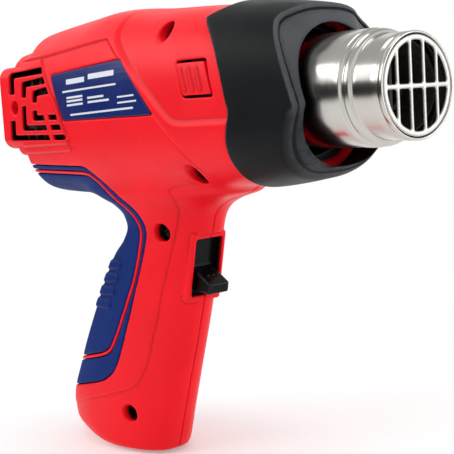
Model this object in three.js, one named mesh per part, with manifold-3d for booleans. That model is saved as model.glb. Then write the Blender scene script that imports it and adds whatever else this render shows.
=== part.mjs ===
// Hot air tool (heat gun), in millimetres.
// +X is the way the air leaves, +Z is up, and Y = 0 is the plane where the two housing halves meet.
// The origin is the centre of the outlet grille's front face, on the axis of the nozzle.
import * as THREE from 'three';
import { mergeVertices } from 'three/addons/utils/BufferGeometryUtils.js';
import Module from 'manifold-3d';

const wasm = await Module();
wasm.setup();

// Clearances
const seatGap = 0.3;
const partingGap = 0.15;
const slideGap = 0.4;

// How far a cutting body runs past what it cuts, and how far a joined one is let into its neighbour
const past = 1;
const bury = 0.2;
const far = 300;
// Cuts that meet edge to edge can leave a chip of less than this volume
const chipVolume = 0.5;

// Round work
const roundSides = 32;
const smallSides = 12;
const barrelSides = 24;
const handleSides = 20;

// Nozzle
const nozzleRadius = 17.7;
const nozzleRearRadius = 20;
const nozzleWall = 0.9;
const nozzleLength = 116;
const nozzleLip = 1.1;
const beadPlace = 16.5;
const beadHalfWidth = 3;
const beadFlat = 1;
const beadDrop = 0.5;
const neckPlace = 22;
const neckDepth = 1.2;
const nozzleFlangeRadius = 25;
const nozzleFlangeThickness = 1.6;
const grilleThickness = 1.2;
const grilleRim = 1.9;
const grilleBarWidth = 1.4;
const grilleCrossBar = 1.7;
const grilleBarPitch = 6.4;
const grilleBarCount = 4;

// Heater
const sleeveGap = 1.2;
const sleeveWall = 0.8;
const sleeveFrontPlace = 6;
const formerThickness = 1.5;
const formerRadius = 9.5;
const formerSetBack = 6;
const coilWireRadius = 0.8;
const coilTurns = 10;
const coilStepsPerTurn = 8;
const coilWireSides = 4;
const coilEndMargin = 5;
const flangeThickness = 3;
const flangeWindowWidth = 7;
const flangeWindowPlace = 7;
const cutOutLength = 9;
const cutOutHeight = 6;
const cutOutThickness = 4;
const cutOutPlace = 12.5;

// Motor and fan
const motorRadius = 13.9;
const motorLength = 38;
const motorFrontPlace = 145;
const motorBossRadius = 5;
const motorBossLength = 2.5;
const shaftRadius = 1.5;
const shaftBury = 12;
const fanHubRadius = 6;
const fanRadius = 19;
const fanDepth = 12;
const fanBladeCount = 7;
const fanBladeThickness = 1.4;
const fanBladeTilt = 38;
const fanStandOff = 3;
const shaftTail = 1.5;
const shaftFit = 0.08;
const bladeFill = 0.72;
const bladeRoot = 2;
const mountThickness = 4;
const mountSpokeWidth = 4;
const mountSpokeCount = 4;
const mountHubWall = 4;
const mountReach = 30;
const boardRadius = 12.5;
const boardThickness = 1.6;
const diodeLength = 5;
const diodeRadius = 1.4;
const capacitorRadius = 2.6;
const capacitorLength = 6;
const diodePlace = 6;

// Dust screens
const screenThickness = 0.6;
const screenMargin = 0.6;
const screenRear = -220;
const screenFront = -199;
const screenEdge = 2;
const screenHole = 5.6;
const screenPitch = 7.6;
const screenRows = 4;
const screenColumns = 3;

// Housing
const wall = 2.6;
const hollowRear = -213;
const flankProud = 1.2;
const flankOver = 0.15;
const guardWall = 2.6;
const guardProud = 1.8;
const guardLipInset = 1.6;
const guardOpeningSideGap = 1.6;
const guardOpeningHighGap = 5.4;
const spigotClearance = 0.5;
const spigotFrontPlace = 50;
const spigotWall = 2.2;
const spigotBoreGap = 2.6;
const ribThickness = 2.2;
const ribRadius = 31;
const flangeLap = 2;
const gripThickness = 1.4;
const gripGap = 0.25;
const stripeWidth = 1.6;
const plateThickness = 0.7;
const plateBed = 0.2;
const tabThickness = 2;
const tabSlot = 1;
const tabRibHeight = 0.5;
const tabRibWidth = 1.2;
const tabRibPitch = 4.6;
const tabRibShift = -2;
const tabRibCount = 3;
const tabRibReach = 4;
const tabBackY = 24;

// Barrel stations, from the rear to the front: place, half width, top and bottom
const sectionPower = 2.7;
const barrelStations = [
  { x: -223, halfWidth: 23.6, top: 33.4, bottom: -31.5 },
  { x: -217, halfWidth: 24.4, top: 34.0, bottom: -37.0 },
  { x: -208, halfWidth: 25.2, top: 34.9, bottom: -39.8 },
  { x: -190, halfWidth: 26.6, top: 36.4, bottom: -40.4 },
  { x: -170, halfWidth: 28.0, top: 37.8, bottom: -40.4 },
  { x: -150, halfWidth: 29.0, top: 39.0, bottom: -39.6 },
  { x: -120, halfWidth: 29.4, top: 36.8, bottom: -37.6 },
  { x: -90, halfWidth: 29.4, top: 35.0, bottom: -35.4 },
  { x: -62, halfWidth: 28.8, top: 32.2, bottom: -32.2 },
  { x: -46, halfWidth: 27.2, top: 30.0, bottom: -29.6 },
  { x: -34, halfWidth: 25.4, top: 27.4, bottom: -27.2 },
  { x: -27, halfWidth: 24.0, top: 25.4, bottom: -25.4 },
];

// Rear vent block and the collar that it steps out of
const ventBlock = { rear: -238, front: -186, halfWidth: 25.2, top: 20, bottom: -20 };
const ventCollar = { rear: -229, front: -200, halfWidth: 23.6, top: 26, bottom: -24 };
const ventPower = 9;
const ventEdge = 2.4;
const slotHeight = 2.4;
const slotUpright = 4.4;
const slotPitch = 4.5;
const slotCount = 3;
const slotMiddle = 1.2;
const slotMargin = 4.2;
const slotRearX = -227.3;
const slotRibWidth = 3.6;
const slotRibX = -195;
const slotRibSlant = 0.45;
const slotStretch = 2.53;
const slotFrontX = -186.7;
const slotSlant = 0.5;

// Handle stations, from the bottom up: height, back, front and half width
const handlePower = 2.5;
const noseShare = 0.8;
const noseStart = 0.3;
const handleStations = [
  { z: -155.2, back: -187.0, front: -150.0, halfWidth: 14.5 },
  { z: -153.8, back: -196.5, front: -146.2, halfWidth: 18.0 },
  { z: -150.6, back: -206.5, front: -144.2, halfWidth: 19.6 },
  { z: -146.0, back: -213.8, front: -142.4, halfWidth: 20.3 },
  { z: -139.0, back: -215.2, front: -140.0, halfWidth: 20.4 },
  { z: -120.0, back: -207.4, front: -133.0, halfWidth: 19.6 },
  { z: -88.0, back: -188.6, front: -121.4, halfWidth: 18.2 },
  { z: -75.0, back: -179.4, front: -117.4, halfWidth: 17.8 },
  { z: -66.0, back: -172.2, front: -114.8, halfWidth: 17.4 },
  { z: -59.0, back: -164.0, front: -112.8, halfWidth: 17.2 },
  { z: -53.0, back: -160.2, front: -111.0, halfWidth: 17.4 },
  { z: -48.0, back: -161.6, front: -109.2, halfWidth: 18.4 },
  { z: -43.5, back: -168.0, front: -105.0, halfWidth: 20.2 },
  { z: -40.5, back: -178.0, front: -98.0, halfWidth: 21.6 },
  { z: -36.5, back: -186.0, front: -86.0, halfWidth: 22.6 },
  { z: -24.0, back: -188.0, front: -80.0, halfWidth: 23.0 },
];

// Switch, in its own plane: the window's centre, the way it slides and its sizes
const switchCentre = new THREE.Vector3(-116.5, 0, -69.3);
const switchLean = 14;
const windowHalfWidth = 6.9;
const windowHalfHeight = 12.2;
const surroundRim = 1.9;
const surroundDepth = 9;
const knobHalfWidth = 5.2;
const knobHeight = 11;
const knobReach = 8.8;
const knobTipHeight = 4.4;
const knobRoot = 0.5;
const shutterDepth = 4.2;
const shutterThickness = 1.6;
const shutterLap = 1.6;
const shutterSideLap = 0.5;
const switchTravel = 11.5;
const switchBodyHalfWidth = 6.6;
const switchBodyDepth = 14;
const switchBodyHeight = 26;
const switchBodyDrop = 8;
const switchBodyWall = 2;
const stemHalfWidth = 2;
const stemHeight = 5;
const stemLength = 4;
const stemMargin = 3;
const knobUndercut = 2.5;

// Screws: place of each, its recess radius and the depth of the seat below the parting plane
const screwPlaces = [
  { name: 'rear', x: -225, z: 0.9, recess: 2.6 },
  { name: 'top', x: -103, z: 26, recess: 3.8 },
  { name: 'belly', x: -93, z: -28.6, recess: 3.8 },
  { name: 'neck', x: -127, z: -54, recess: 3.8 },
  { name: 'handle', x: -159, z: -137, recess: 3.8 },
];
const screwSeatDepth = 9;
const screwShankRadius = 1.5;
const screwHeadGap = 0.6;
const screwHeadHeight = 2;
const screwDriveLength = 3;
const screwDriveWidth = 0.9;
const screwDriveDepth = 1;
const screwReach = 10;
const postWall = 1.6;

// Cord inlet and clamp
const inletX = -177;
const glandBoreRadius = 4;
const glandNeckRadius = 6;
const glandFlangeRadius = 8;
const glandFlangeThickness = 1.6;
const glandProud = 0.6;
const clampHeight = 18;
const clampEnd = 2.5;
const clampThickness = 3;
const clampWidth = 8;
const clampScrewPitch = 17;
const clampScrewRadius = 1.4;
const clampScrewHeadRadius = 2.6;
const clampScrewHeadHeight = 1.8;
const clampScrewLength = 8;
const clampFaceY = 5;
const clampBossRadius = 3.6;

// Side outlines in X and Z. The guard's back and front edges:
const guardRear = [
  [-86, 60], [-81, 34], [-77, 27], [-71.9, 22], [-67.5, 16], [-64, 7.3], [-62.3, -0.8],
  [-60.8, -5.3], [-62.9, -10.6], [-64.8, -15.5], [-65.4, -22], [-64.8, -33], [-62, -60],
];
const guardFront = [
  [-40, 60], [-40.3, 29], [-43.6, 25], [-38.2, 15.5], [-33.2, 3], [-31, -4.5],
  [-33.8, -11.3], [-36.6, -17.8], [-38.6, -23.2], [-41, -30], [-46, -60],
];
// The lip round the guard's opening stands out further, set in from the sides
const guardLip = [
  [-37, 60], [-37.2, 24], [-35.9, 15], [-31, -1], [-29.6, -5],
  [-31.5, -10], [-32.4, -16], [-32, -26], [-33, -60],
];
// The flank that stands out between the label's recess and the front panel's
const flankOutline = [
  [-226, 60], [-226, 21.5], [-195, 22.6], [-141, 26.3], [-121.7, 10.9], [-107.3, -4.3],
  [-96.4, -15.2], [-88.8, -24.1], [-83.6, -29.8], [-79, -60], [-40, -60], [-40, 60],
];
const panelOutline = [[-137, 60], [-133.7, 27.3], [-96, -5.8], [-91.3, -7.2], [-50, -6.8], [-50, 60]];
// The border of the soft grip and the pad inside it
const borderOutline = [
  [-260, -26.5], [-168, -26.5], [-163.5, -29], [-149, -37.5], [-139.5, -43.8], [-136, -50], [-135.5, -54.5],
  [-138.5, -62], [-148, -83], [-161, -111], [-166, -119], [-174, -124], [-260, -146],
];
const padOutline = [
  [-260, -30.5], [-168.5, -30.5], [-163, -33], [-151, -41], [-143, -47], [-140, -52], [-140, -56],
  [-147, -74], [-161.5, -99], [-167, -107.5], [-172, -110.5], [-260, -132],
];
// The rating plate, bare, and the guard's release tab with the slot round it
const plateOutline = [[-188, 14], [-128, 17.5], [-108, -5], [-177.5, -6]];
const tabRootGap = 0.6;
const tabRootTop = [-91, 13.4];
const tabRootLow = [-87, 1.4];
const tabLength = 16;
const tabOutline = [tabRootTop, [tabRootTop[0] + tabLength, tabRootTop[1]],
  [tabRootLow[0] + tabLength, tabRootLow[1]], tabRootLow];
const tabSlotOutline = [
  [tabRootTop[0] - tabRootGap, tabRootTop[1] + tabSlot],
  [tabRootTop[0] + tabLength + tabSlot, tabRootTop[1] + tabSlot],
  [tabRootLow[0] + tabLength + tabSlot, tabRootLow[1] - tabSlot],
  [tabRootLow[0] - tabRootGap, tabRootLow[1] - tabSlot],
];

const colours = {
  red: { color: 0xe8202c, roughness: 0.42, metalness: 0 },
  blue: { color: 0x1f3570, roughness: 0.62, metalness: 0 },
  black: { color: 0x25272a, roughness: 0.5, metalness: 0 },
  gloss: { color: 0x0c0c0d, roughness: 0.2, metalness: 0 },
  steel: { color: 0xc9c5bf, roughness: 0.18, metalness: 1 },
  grille: { color: 0xc6c4bf, roughness: 0.35, metalness: 1 },
  zinc: { color: 0x8f9296, roughness: 0.3, metalness: 1 },
  mica: { color: 0xb9a57e, roughness: 0.7, metalness: 0 },
  ceramic: { color: 0xe4dfd2, roughness: 0.6, metalness: 0 },
  wire: { color: 0x77706a, roughness: 0.4, metalness: 1 },
  board: { color: 0x2c5a38, roughness: 0.5, metalness: 0 },
  rubber: { color: 0x18191a, roughness: 0.8, metalness: 0 },
  navy: { color: 0x16225c, roughness: 0.4, metalness: 0 },
};

const gun = new THREE.Group();

function solid(geometry) {
  const plain = geometry.clone();
  plain.deleteAttribute('normal');
  plain.deleteAttribute('uv');
  const merged = mergeVertices(plain, 1e-4);
  return new wasm.Manifold(new wasm.Mesh({
    numProp: 3,
    vertProperties: Float32Array.from(merged.attributes.position.array),
    triVerts: Uint32Array.from(merged.index.array),
  }));
}

function add(name, body, look) {
  const cut = body.getMesh();
  const geometry = new THREE.BufferGeometry();
  geometry.setAttribute('position', new THREE.BufferAttribute(cut.vertProperties, 3));
  geometry.setIndex(new THREE.BufferAttribute(cut.triVerts, 1));
  const mesh = new THREE.Mesh(geometry, new THREE.MeshStandardMaterial(colours[look]));
  mesh.name = name;
  gun.add(mesh);
}

function joined(bodies) {
  return bodies.reduce((sum, body) => sum.add(body));
}

// A box from one corner to the other.
function block(x0, x1, y0, y1, z0, z1) {
  const geometry = new THREE.BoxGeometry(x1 - x0, y1 - y0, z1 - z0);
  geometry.translate((x0 + x1) / 2, (y0 + y1) / 2, (z0 + z1) / 2);
  return solid(geometry);
}

// A round bar along X, Y or Z.
function bar(axis, radius, from, to, [a, b] = [0, 0], sides = smallSides) {
  const geometry = new THREE.CylinderGeometry(radius, radius, to - from, sides);
  const middle = (from + to) / 2;
  if (axis === 'x') {
    geometry.rotateZ(-Math.PI / 2);
    geometry.translate(middle, a, b);
  } else if (axis === 'y') {
    geometry.translate(a, middle, b);
  } else {
    geometry.rotateX(Math.PI / 2);
    geometry.translate(a, b, middle);
  }
  return solid(geometry);
}

// A body turned about the X axis from [x, radius] points.
function turned(points, sides = roundSides) {
  const geometry = new THREE.LatheGeometry(points.map(([x, r]) => new THREE.Vector2(r, x)), sides);
  geometry.rotateZ(-Math.PI / 2);
  return solid(geometry);
}

// A side outline in X and Z, carried across from one Y to another.
function plate(outline, y0, y1) {
  const shape = new THREE.Shape(outline.map(([x, z]) => new THREE.Vector2(x, z)));
  const geometry = new THREE.ExtrudeGeometry(shape, { depth: y1 - y0, bevelEnabled: false });
  geometry.rotateX(Math.PI / 2);
  geometry.translate(0, y1, 0);
  return solid(geometry);
}

// A closed outline moved outwards by an even amount.
function grown(outline, by) {
  const count = outline.length;
  const area = outline.reduce((sum, [x, z], i) => {
    const [nextX, nextZ] = outline[(i + 1) % count];
    return sum + x * nextZ - nextX * z;
  }, 0);
  const side = by * Math.sign(area);
  return outline.map((point, i) => {
    const before = outline[(i + count - 1) % count];
    const after = outline[(i + 1) % count];
    return mitred(before, point, after, side);
  });
}

// An open line moved towards -X by an even amount.
function grownLine(line, by) {
  return line.map((point, i) => {
    const before = line[Math.max(i - 1, 0)];
    const after = line[Math.min(i + 1, line.length - 1)];
    return mitred(before, point, after, by);
  });
}

// The corner of two edges that are both moved to their right by the same amount.
function mitred(before, point, after, by) {
  const normal = (from, to) => new THREE.Vector2(to[1] - from[1], from[0] - to[0]).normalize();
  const into = before === point ? normal(point, after) : normal(before, point);
  const out = after === point ? into : normal(point, after);
  const sum = into.clone().add(out);
  sum.multiplyScalar((2 * by) / sum.lengthSq());
  return [point[0] + sum.x, point[1] + sum.y];
}

// A closed body through rings of points, with a flat cap at each end.
function loft(rings) {
  const count = rings[0].length;
  const positions = rings.flat().flatMap((p) => [p.x, p.y, p.z]);
  const index = [];
  for (let ring = 0; ring < rings.length - 1; ring += 1) {
    for (let i = 0; i < count; i += 1) {
      const a = ring * count + i;
      const b = ring * count + ((i + 1) % count);
      index.push(a, b, b + count, a, b + count, a + count);
    }
  }
  [0, rings.length - 1].forEach((ring, end) => {
    const middle = rings[ring].reduce((sum, p) => sum.add(p), new THREE.Vector3()).divideScalar(count);
    const hub = positions.length / 3;
    positions.push(middle.x, middle.y, middle.z);
    for (let i = 0; i < count; i += 1) {
      const a = ring * count + i;
      const b = ring * count + ((i + 1) % count);
      index.push(...(end === 0 ? [hub, b, a] : [hub, a, b]));
    }
  });
  const geometry = new THREE.BufferGeometry();
  geometry.setAttribute('position', new THREE.Float32BufferAttribute(positions, 3));
  geometry.setIndex(index);
  return solid(geometry);
}

// A number's sign kept, its size raised to a power: the corner of a squarish oval.
function rounded(value, power) {
  return Math.sign(value) * Math.abs(value) ** (2 / power);
}

function barrelRing({ x, halfWidth, top, bottom }, inset, power = sectionPower, sides = barrelSides) {
  const middle = (top + bottom) / 2;
  const height = (top - bottom) / 2 - inset;
  return Array.from({ length: sides }, (_, i) => {
    const turn = (2 * Math.PI * (i + 0.5)) / sides;
    const y = (halfWidth - inset) * rounded(Math.cos(turn), power);
    const z = middle + height * rounded(Math.sin(turn), power);
    return new THREE.Vector3(x, y, z);
  });
}

// The barrel's form, drawn in by an inset; its two ends move in too.
function barrel(inset, stations = barrelStations) {
  const last = stations.length - 1;
  return loft(stations.map((station, i) => {
    const shift = (i === 0 ? inset : 0) - (i === last ? inset : 0);
    return barrelRing({ ...station, x: station.x + shift }, inset);
  }));
}

// A squarish block with a chamfer round its rear end.
function squareLoft({ rear, front, ...size }, inset) {
  return loft([
    barrelRing({ x: rear + inset, ...size }, inset + ventEdge, ventPower),
    barrelRing({ x: rear + inset + ventEdge, ...size }, inset, ventPower),
    barrelRing({ x: front - inset, ...size }, inset, ventPower),
  ]);
}

function handleRing({ z, back, front, halfWidth }, inset) {
  const reach = (front - back) / 2 - inset;
  const middle = (front + back) / 2;
  return Array.from({ length: handleSides }, (_, i) => {
    const turn = (2 * Math.PI * (i + 0.5)) / handleSides;
    const along = rounded(Math.cos(turn), handlePower);
    const nose = THREE.MathUtils.smoothstep(along, -noseStart, 1);
    const across = (halfWidth * (1 - (1 - noseShare) * nose) - inset) * rounded(Math.sin(turn), handlePower);
    return new THREE.Vector3(middle + reach * along, across, z);
  });
}

// The handle's form, drawn in by an inset all round and at the foot.
const footZ = handleStations[0].z;
function handle(inset) {
  return loft(handleStations.map((station) => handleRing(station, inset)))
    .intersect(block(-far, far, -far, far, footZ + inset, far));
}

// The switch's own plane: up runs along the slide, out is the way the knob points.
const switchFrame = new THREE.Matrix4()
  .makeRotationY(THREE.MathUtils.degToRad(switchLean))
  .setPosition(switchCentre);

function onSwitch(body) {
  return body.transform(switchFrame.elements);
}

const plateBack = -shutterDepth - shutterThickness;
const bodyFront = plateBack - slideGap;
const bodyBack = bodyFront - switchBodyDepth;
const bodyTop = windowHalfHeight - switchBodyDrop;
const bodyLow = bodyTop - switchBodyHeight;
const shutterHalfWidth = windowHalfWidth + shutterSideLap;
const shutterLow = -windowHalfHeight + slideGap;
const shutterHigh = windowHalfHeight + shutterLap;

const surround = onSwitch(block(
  -surroundDepth, 0,
  -windowHalfWidth - surroundRim, windowHalfWidth + surroundRim,
  -windowHalfHeight - surroundRim, windowHalfHeight + surroundRim,
));
const switchCuts = joined([
  onSwitch(block(
    0, surroundDepth,
    -windowHalfWidth - surroundRim, windowHalfWidth + surroundRim,
    -windowHalfHeight - surroundRim, windowHalfHeight + surroundRim,
  )),
  onSwitch(block(
    -surroundDepth, past,
    -windowHalfWidth, windowHalfWidth,
    -windowHalfHeight, windowHalfHeight,
  )),
  onSwitch(block(
    plateBack - slideGap, -shutterDepth + slideGap,
    -shutterHalfWidth - slideGap, shutterHalfWidth + slideGap,
    -windowHalfHeight, shutterHigh + switchTravel + slideGap,
  )),
  onSwitch(block(
    bodyBack - seatGap, plateBack,
    -switchBodyHalfWidth - seatGap, switchBodyHalfWidth + seatGap,
    bodyLow - seatGap, bodyTop + seatGap,
  )),
]);

// The whole casing's skin, drawn in by an inset.
function casing(inset) {
  return joined([barrel(inset), handle(inset), squareLoft(ventBlock, inset), squareLoft(ventCollar, inset)]);
}

// The space between two skins of the casing.
function layer(outerInset, innerInset) {
  return casing(outerInset).subtract(casing(innerInset));
}

// Where the guard covers the barrel, the barrel is smaller and fits inside the guard.
const guardIn = -guardProud;
const spigotInset = guardWall - guardProud + spigotClearance;
const guardSpace = plate([...guardRear, [far, -far], [far, far]], -far, far);
const guardRearSpace = plate([...grownLine(guardRear, seatGap), [far, -far], [far, far]], -far, far);
const frontFace = plate([...guardFront, [far, -far], [far, far]], -far, far);
const lipFace = plate([...guardLip, [far, -far], [far, far]], -far, far);
const innerFrontFace = plate([...grownLine(guardFront, guardWall), [far, -far], [far, far]], -far, far);

const openingAcross = nozzleRearRadius + guardOpeningSideGap;
const openingTall = nozzleRearRadius + guardOpeningHighGap;
const opening = bar('x', 1, -spigotFrontPlace, past, [0, 0], roundSides)
  .scale([1, openingAcross, openingTall]);
const guardInside = barrel(guardIn + guardWall).subtract(innerFrontFace);
const guard = barrel(guardIn)
  .subtract(frontFace)
  .add(barrel(guardIn + guardLipInset).subtract(lipFace))
  .intersect(guardSpace)
  .subtract(guardInside)
  .subtract(opening);
add('nose_guard', guard, 'black');

const flankStations = barrelStations.map(({ x, halfWidth, top, bottom }) => ({
  x, halfWidth: halfWidth + flankProud, top: top + flankOver, bottom: bottom - flankOver,
}));
const flanks = barrel(0, flankStations)
  .intersect(plate(flankOutline, -far, far))
  .subtract(plate(panelOutline, -far, far));
const spigot = barrel(spigotInset).intersect(block(-far, -spigotFrontPlace, -far, far, -far, far));
const skin = casing(0)
  .add(flanks)
  .subtract(guardRearSpace)
  .add(spigot)
  .add(surround.subtract(barrel(wall)));

const spigotHollow = barrel(spigotInset + spigotWall)
  .intersect(block(-far, -spigotFrontPlace - spigotWall, -far, far, -far, far));
const hollowFront = Math.min(...guardRear.map(([x]) => x));
const hollow = joined([
  barrel(wall).intersect(block(hollowRear, hollowFront, -far, far, -far, far)),
  handle(wall),
  squareLoft(ventBlock, wall),
  squareLoft(ventCollar, wall),
  spigotHollow,
]);

// Ribs across the barrel that the nozzle's flange sits between
const flangeFront = -nozzleLength + nozzleFlangeThickness;
function barrelRib(from, boreRadius) {
  return barrel(wall - bury)
    .intersect(block(from, from + ribThickness, -far, far, -ribRadius, ribRadius))
    .subtract(bar('x', boreRadius, from - past, from + ribThickness + past, [0, 0], roundSides));
}
const heaterFlangeRadius = nozzleRearRadius - nozzleWall - seatGap;
const ribs = joined([
  barrelRib(flangeFront + seatGap, nozzleRearRadius + seatGap),
  barrelRib(-nozzleLength - seatGap - ribThickness, heaterFlangeRadius - flangeLap),
]);

// Soft grip: a pad and the border round it, with a line of the housing between them
const gripSkin = layer(0, gripThickness);
const gripPocket = layer(-past, gripThickness + gripGap);
const padSpace = plate(padOutline, -far, far);
const borderSpace = plate(borderOutline, -far, far)
  .subtract(plate(grown(padOutline, stripeWidth), -far, far));
const pocketSpace = joined([
  plate(grown(padOutline, gripGap), -far, far),
  plate(grown(borderOutline, gripGap), -far, far)
    .subtract(plate(grown(padOutline, stripeWidth - gripGap), -far, far)),
]);

// Air slots in the rear block: nested, open towards the front, and crossed by a slanting rib
function ventSlot(index) {
  const rear = slotRearX + index * slotPitch * slotStretch;
  const reach = ventBlock.top - slotMargin - index * slotPitch;
  const top = slotMiddle + reach;
  const low = slotMiddle - reach;
  const front = (z) => slotFrontX - z * slotSlant;
  return joined([
    block(rear, rear + slotUpright, -far, far, low, top),
    block(rear, front(top), -far, far, top - slotHeight, top),
    block(rear, front(low), -far, far, low, low + slotHeight),
  ]);
}
const slotRibLow = slotRibX + ventBlock.top * slotRibSlant;
const slotRib = plate([
  [slotRibX - slotRibWidth / 2, 0], [slotRibX + slotRibWidth / 2, 0],
  [slotRibLow + slotRibWidth / 2, -ventBlock.top], [slotRibLow - slotRibWidth / 2, -ventBlock.top],
], -far, far);
const slots = joined(Array.from({ length: slotCount }, (_, i) => ventSlot(i))).subtract(slotRib);

// Screw posts run from the wall to the parting plane.
function post({ x, z, recess }) {
  const radius = recess + postWall;
  return casing(bury).intersect(bar('y', radius, -far, far, [x, z]));
}
function screwHole({ x, z, recess }) {
  return joined([
    bar('y', recess, -far, -screwSeatDepth, [x, z]),
    bar('y', screwShankRadius + seatGap, -screwSeatDepth - past, screwReach + past, [x, z]),
  ]);
}
const posts = joined(screwPlaces.map(post));
const screwHoles = joined(screwPlaces.map(screwHole));

// Cord inlet in the foot of the handle, and the two bosses that the clamp bar is screwed to
const inletHoleRadius = glandNeckRadius + gripGap;
const inletHole = bar('z', inletHoleRadius, footZ - past, footZ + wall + past, [inletX, 0], roundSides);
const clampTop = footZ + clampHeight;
const clampReach = clampScrewPitch / 2 + clampEnd;
const clampBosses = joined([-1, 1].map((side) => bar(
  'y', clampBossRadius, clampFaceY, far, [inletX + side * clampScrewPitch / 2, clampTop],
))).intersect(handle(bury));
const clampHoles = joined([-1, 1].map((side) => bar(
  'y', clampScrewRadius + seatGap, clampFaceY - past, clampFaceY + clampScrewLength + past,
  [inletX + side * clampScrewPitch / 2, clampTop],
)));

const tabInner = barrel(tabThickness);
const tabCut = (y0, y1) => plate(tabSlotOutline, y0, y1);
const plateSpace = plate(grown(plateOutline, gripGap), -far, 0);

const shell = skin
  .subtract(hollow)
  .subtract(bar('x', nozzleRearRadius + spigotBoreGap, hollowFront, 0, [0, 0], roundSides))
  .subtract(slots)
  .add(ribs)
  .add(posts)
  .add(clampBosses)
  .subtract(clampHoles)
  .subtract(switchCuts)
  .subtract(gripPocket.intersect(pocketSpace))
  .subtract(inletHole)
  .subtract(tabCut(-far, -tabBackY))
  .subtract(tabCut(tabBackY, far))
  .subtract(layer(-past, plateThickness).intersect(plateSpace))
  .subtract(screwHoles);

function withoutChips(body) {
  return joined(body.decompose().filter((piece) => piece.volume() > chipVolume));
}

const rightSide = block(-far, far, -far, -partingGap, -far, far);
const leftSide = block(-far, far, partingGap, far, -far, far);
const sides = [['right', rightSide], ['left', leftSide]];
for (const [side, space] of sides) {
  add(`housing_${side}`, withoutChips(shell.intersect(space)), 'red');
  add(`grip_pad_${side}`, gripSkin.intersect(padSpace).intersect(space), 'blue');
  add(`grip_border_${side}`, gripSkin.intersect(borderSpace).intersect(space), 'blue');
}

// Nozzle: a flange at its rear, a rolled bead near its front and a rolled lip
const beadTop = nozzleRearRadius - beadDrop;
const nozzleOuter = [
  [-nozzleLength, nozzleFlangeRadius],
  [-nozzleLength + nozzleFlangeThickness, nozzleFlangeRadius],
  [-nozzleLength + nozzleFlangeThickness, nozzleRearRadius],
  [-neckPlace - beadHalfWidth, nozzleRearRadius],
  [-neckPlace, nozzleRearRadius - neckDepth],
  [-beadPlace - beadFlat, beadTop],
  [-beadPlace + beadFlat, beadTop - bury],
  [-beadPlace + beadHalfWidth, nozzleRadius],
  [-nozzleLip, nozzleRadius],
  [0, nozzleRadius - nozzleLip / 2],
];
const nozzleBore = nozzleRadius - nozzleWall;
const nozzleInner = [
  [0, nozzleBore],
  [-beadPlace + beadHalfWidth, nozzleBore],
  [-neckPlace - beadHalfWidth, nozzleRearRadius - nozzleWall],
  [-nozzleLength, nozzleRearRadius - nozzleWall],
];
add('nozzle_tube', turned([...nozzleOuter, ...nozzleInner, nozzleOuter[0]]), 'steel');

const grilleRadius = nozzleBore - seatGap;
const grilleBars = Array.from({ length: grilleBarCount }, (_, i) => {
  const y = (i - (grilleBarCount - 1) / 2) * grilleBarPitch;
  const half = grilleBarWidth / 2;
  return block(-grilleThickness, 0, y - half, y + half, -grilleRadius, grilleRadius);
});
const grilleDisc = bar('x', grilleRadius, -grilleThickness, 0, [0, 0], roundSides);
const grilleHole = bar('x', grilleRadius - grilleRim, -far, far, [0, 0], roundSides);
const crossHalf = grilleCrossBar / 2;
const crossBar = block(-grilleThickness, 0, -grilleRadius, grilleRadius, -crossHalf, crossHalf);
const grilleWindows = grilleHole.subtract(joined([...grilleBars, crossBar]));
add('outlet_grille', grilleDisc.subtract(grilleWindows), 'grille');

// Heater: a mica cross wound with wire, in a mica sleeve, on a ceramic flange at the nozzle's rear
const heaterFlangeFront = -nozzleLength + flangeThickness;
const sleeveOuter = nozzleBore - sleeveGap;
add('mica_sleeve', turned([
  [heaterFlangeFront + seatGap, sleeveOuter], [-sleeveFrontPlace, sleeveOuter],
  [-sleeveFrontPlace, sleeveOuter - sleeveWall], [heaterFlangeFront + seatGap, sleeveOuter - sleeveWall],
  [heaterFlangeFront + seatGap, sleeveOuter],
]), 'mica');
const formerFront = -sleeveFrontPlace - formerSetBack;
const formerRear = heaterFlangeFront + seatGap;
add('heater_former', joined([
  block(formerRear, formerFront, -formerRadius, formerRadius, -formerThickness / 2, formerThickness / 2),
  block(formerRear, formerFront, -formerThickness / 2, formerThickness / 2, -formerRadius, formerRadius),
]), 'mica');

const coilRadius = formerRadius + seatGap + coilWireRadius;
const coilStart = formerRear + coilEndMargin;
const coilPitch = (formerFront - coilEndMargin - coilStart) / coilTurns;
const coilLead = coilPitch / (2 * Math.PI);
const coilRings = Array.from({ length: coilTurns * coilStepsPerTurn + 1 }, (_, i) => {
  const turn = (2 * Math.PI * i) / coilStepsPerTurn;
  const outward = new THREE.Vector3(0, Math.cos(turn), Math.sin(turn));
  const centre = outward.clone().multiplyScalar(coilRadius);
  centre.x = coilStart + coilLead * turn;
  const along = new THREE.Vector3(coilLead / coilRadius, -Math.sin(turn), Math.cos(turn)).normalize();
  const across = along.clone().cross(outward);
  return Array.from({ length: coilWireSides }, (_unused, k) => {
    const angle = (2 * Math.PI * k) / coilWireSides;
    return centre.clone()
      .addScaledVector(outward, coilWireRadius * Math.cos(angle))
      .addScaledVector(across, coilWireRadius * Math.sin(angle));
  });
});
add('heating_coil', loft(coilRings), 'wire');

const flangeWindows = [[1, 1], [1, -1], [-1, 1], [-1, -1]].map(([a, b]) => bar(
  'x', flangeWindowWidth / 2, -far, far, [a * flangeWindowPlace, b * flangeWindowPlace],
));
add('heater_flange', bar('x', heaterFlangeRadius, -nozzleLength, heaterFlangeFront, [0, 0], roundSides)
  .subtract(joined(flangeWindows)), 'ceramic');
add('thermal_cutout', block(
  -nozzleLength - seatGap - cutOutThickness, -nozzleLength - seatGap,
  -cutOutLength / 2, cutOutLength / 2,
  cutOutPlace - cutOutHeight / 2, cutOutPlace + cutOutHeight / 2,
), 'zinc');

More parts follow.
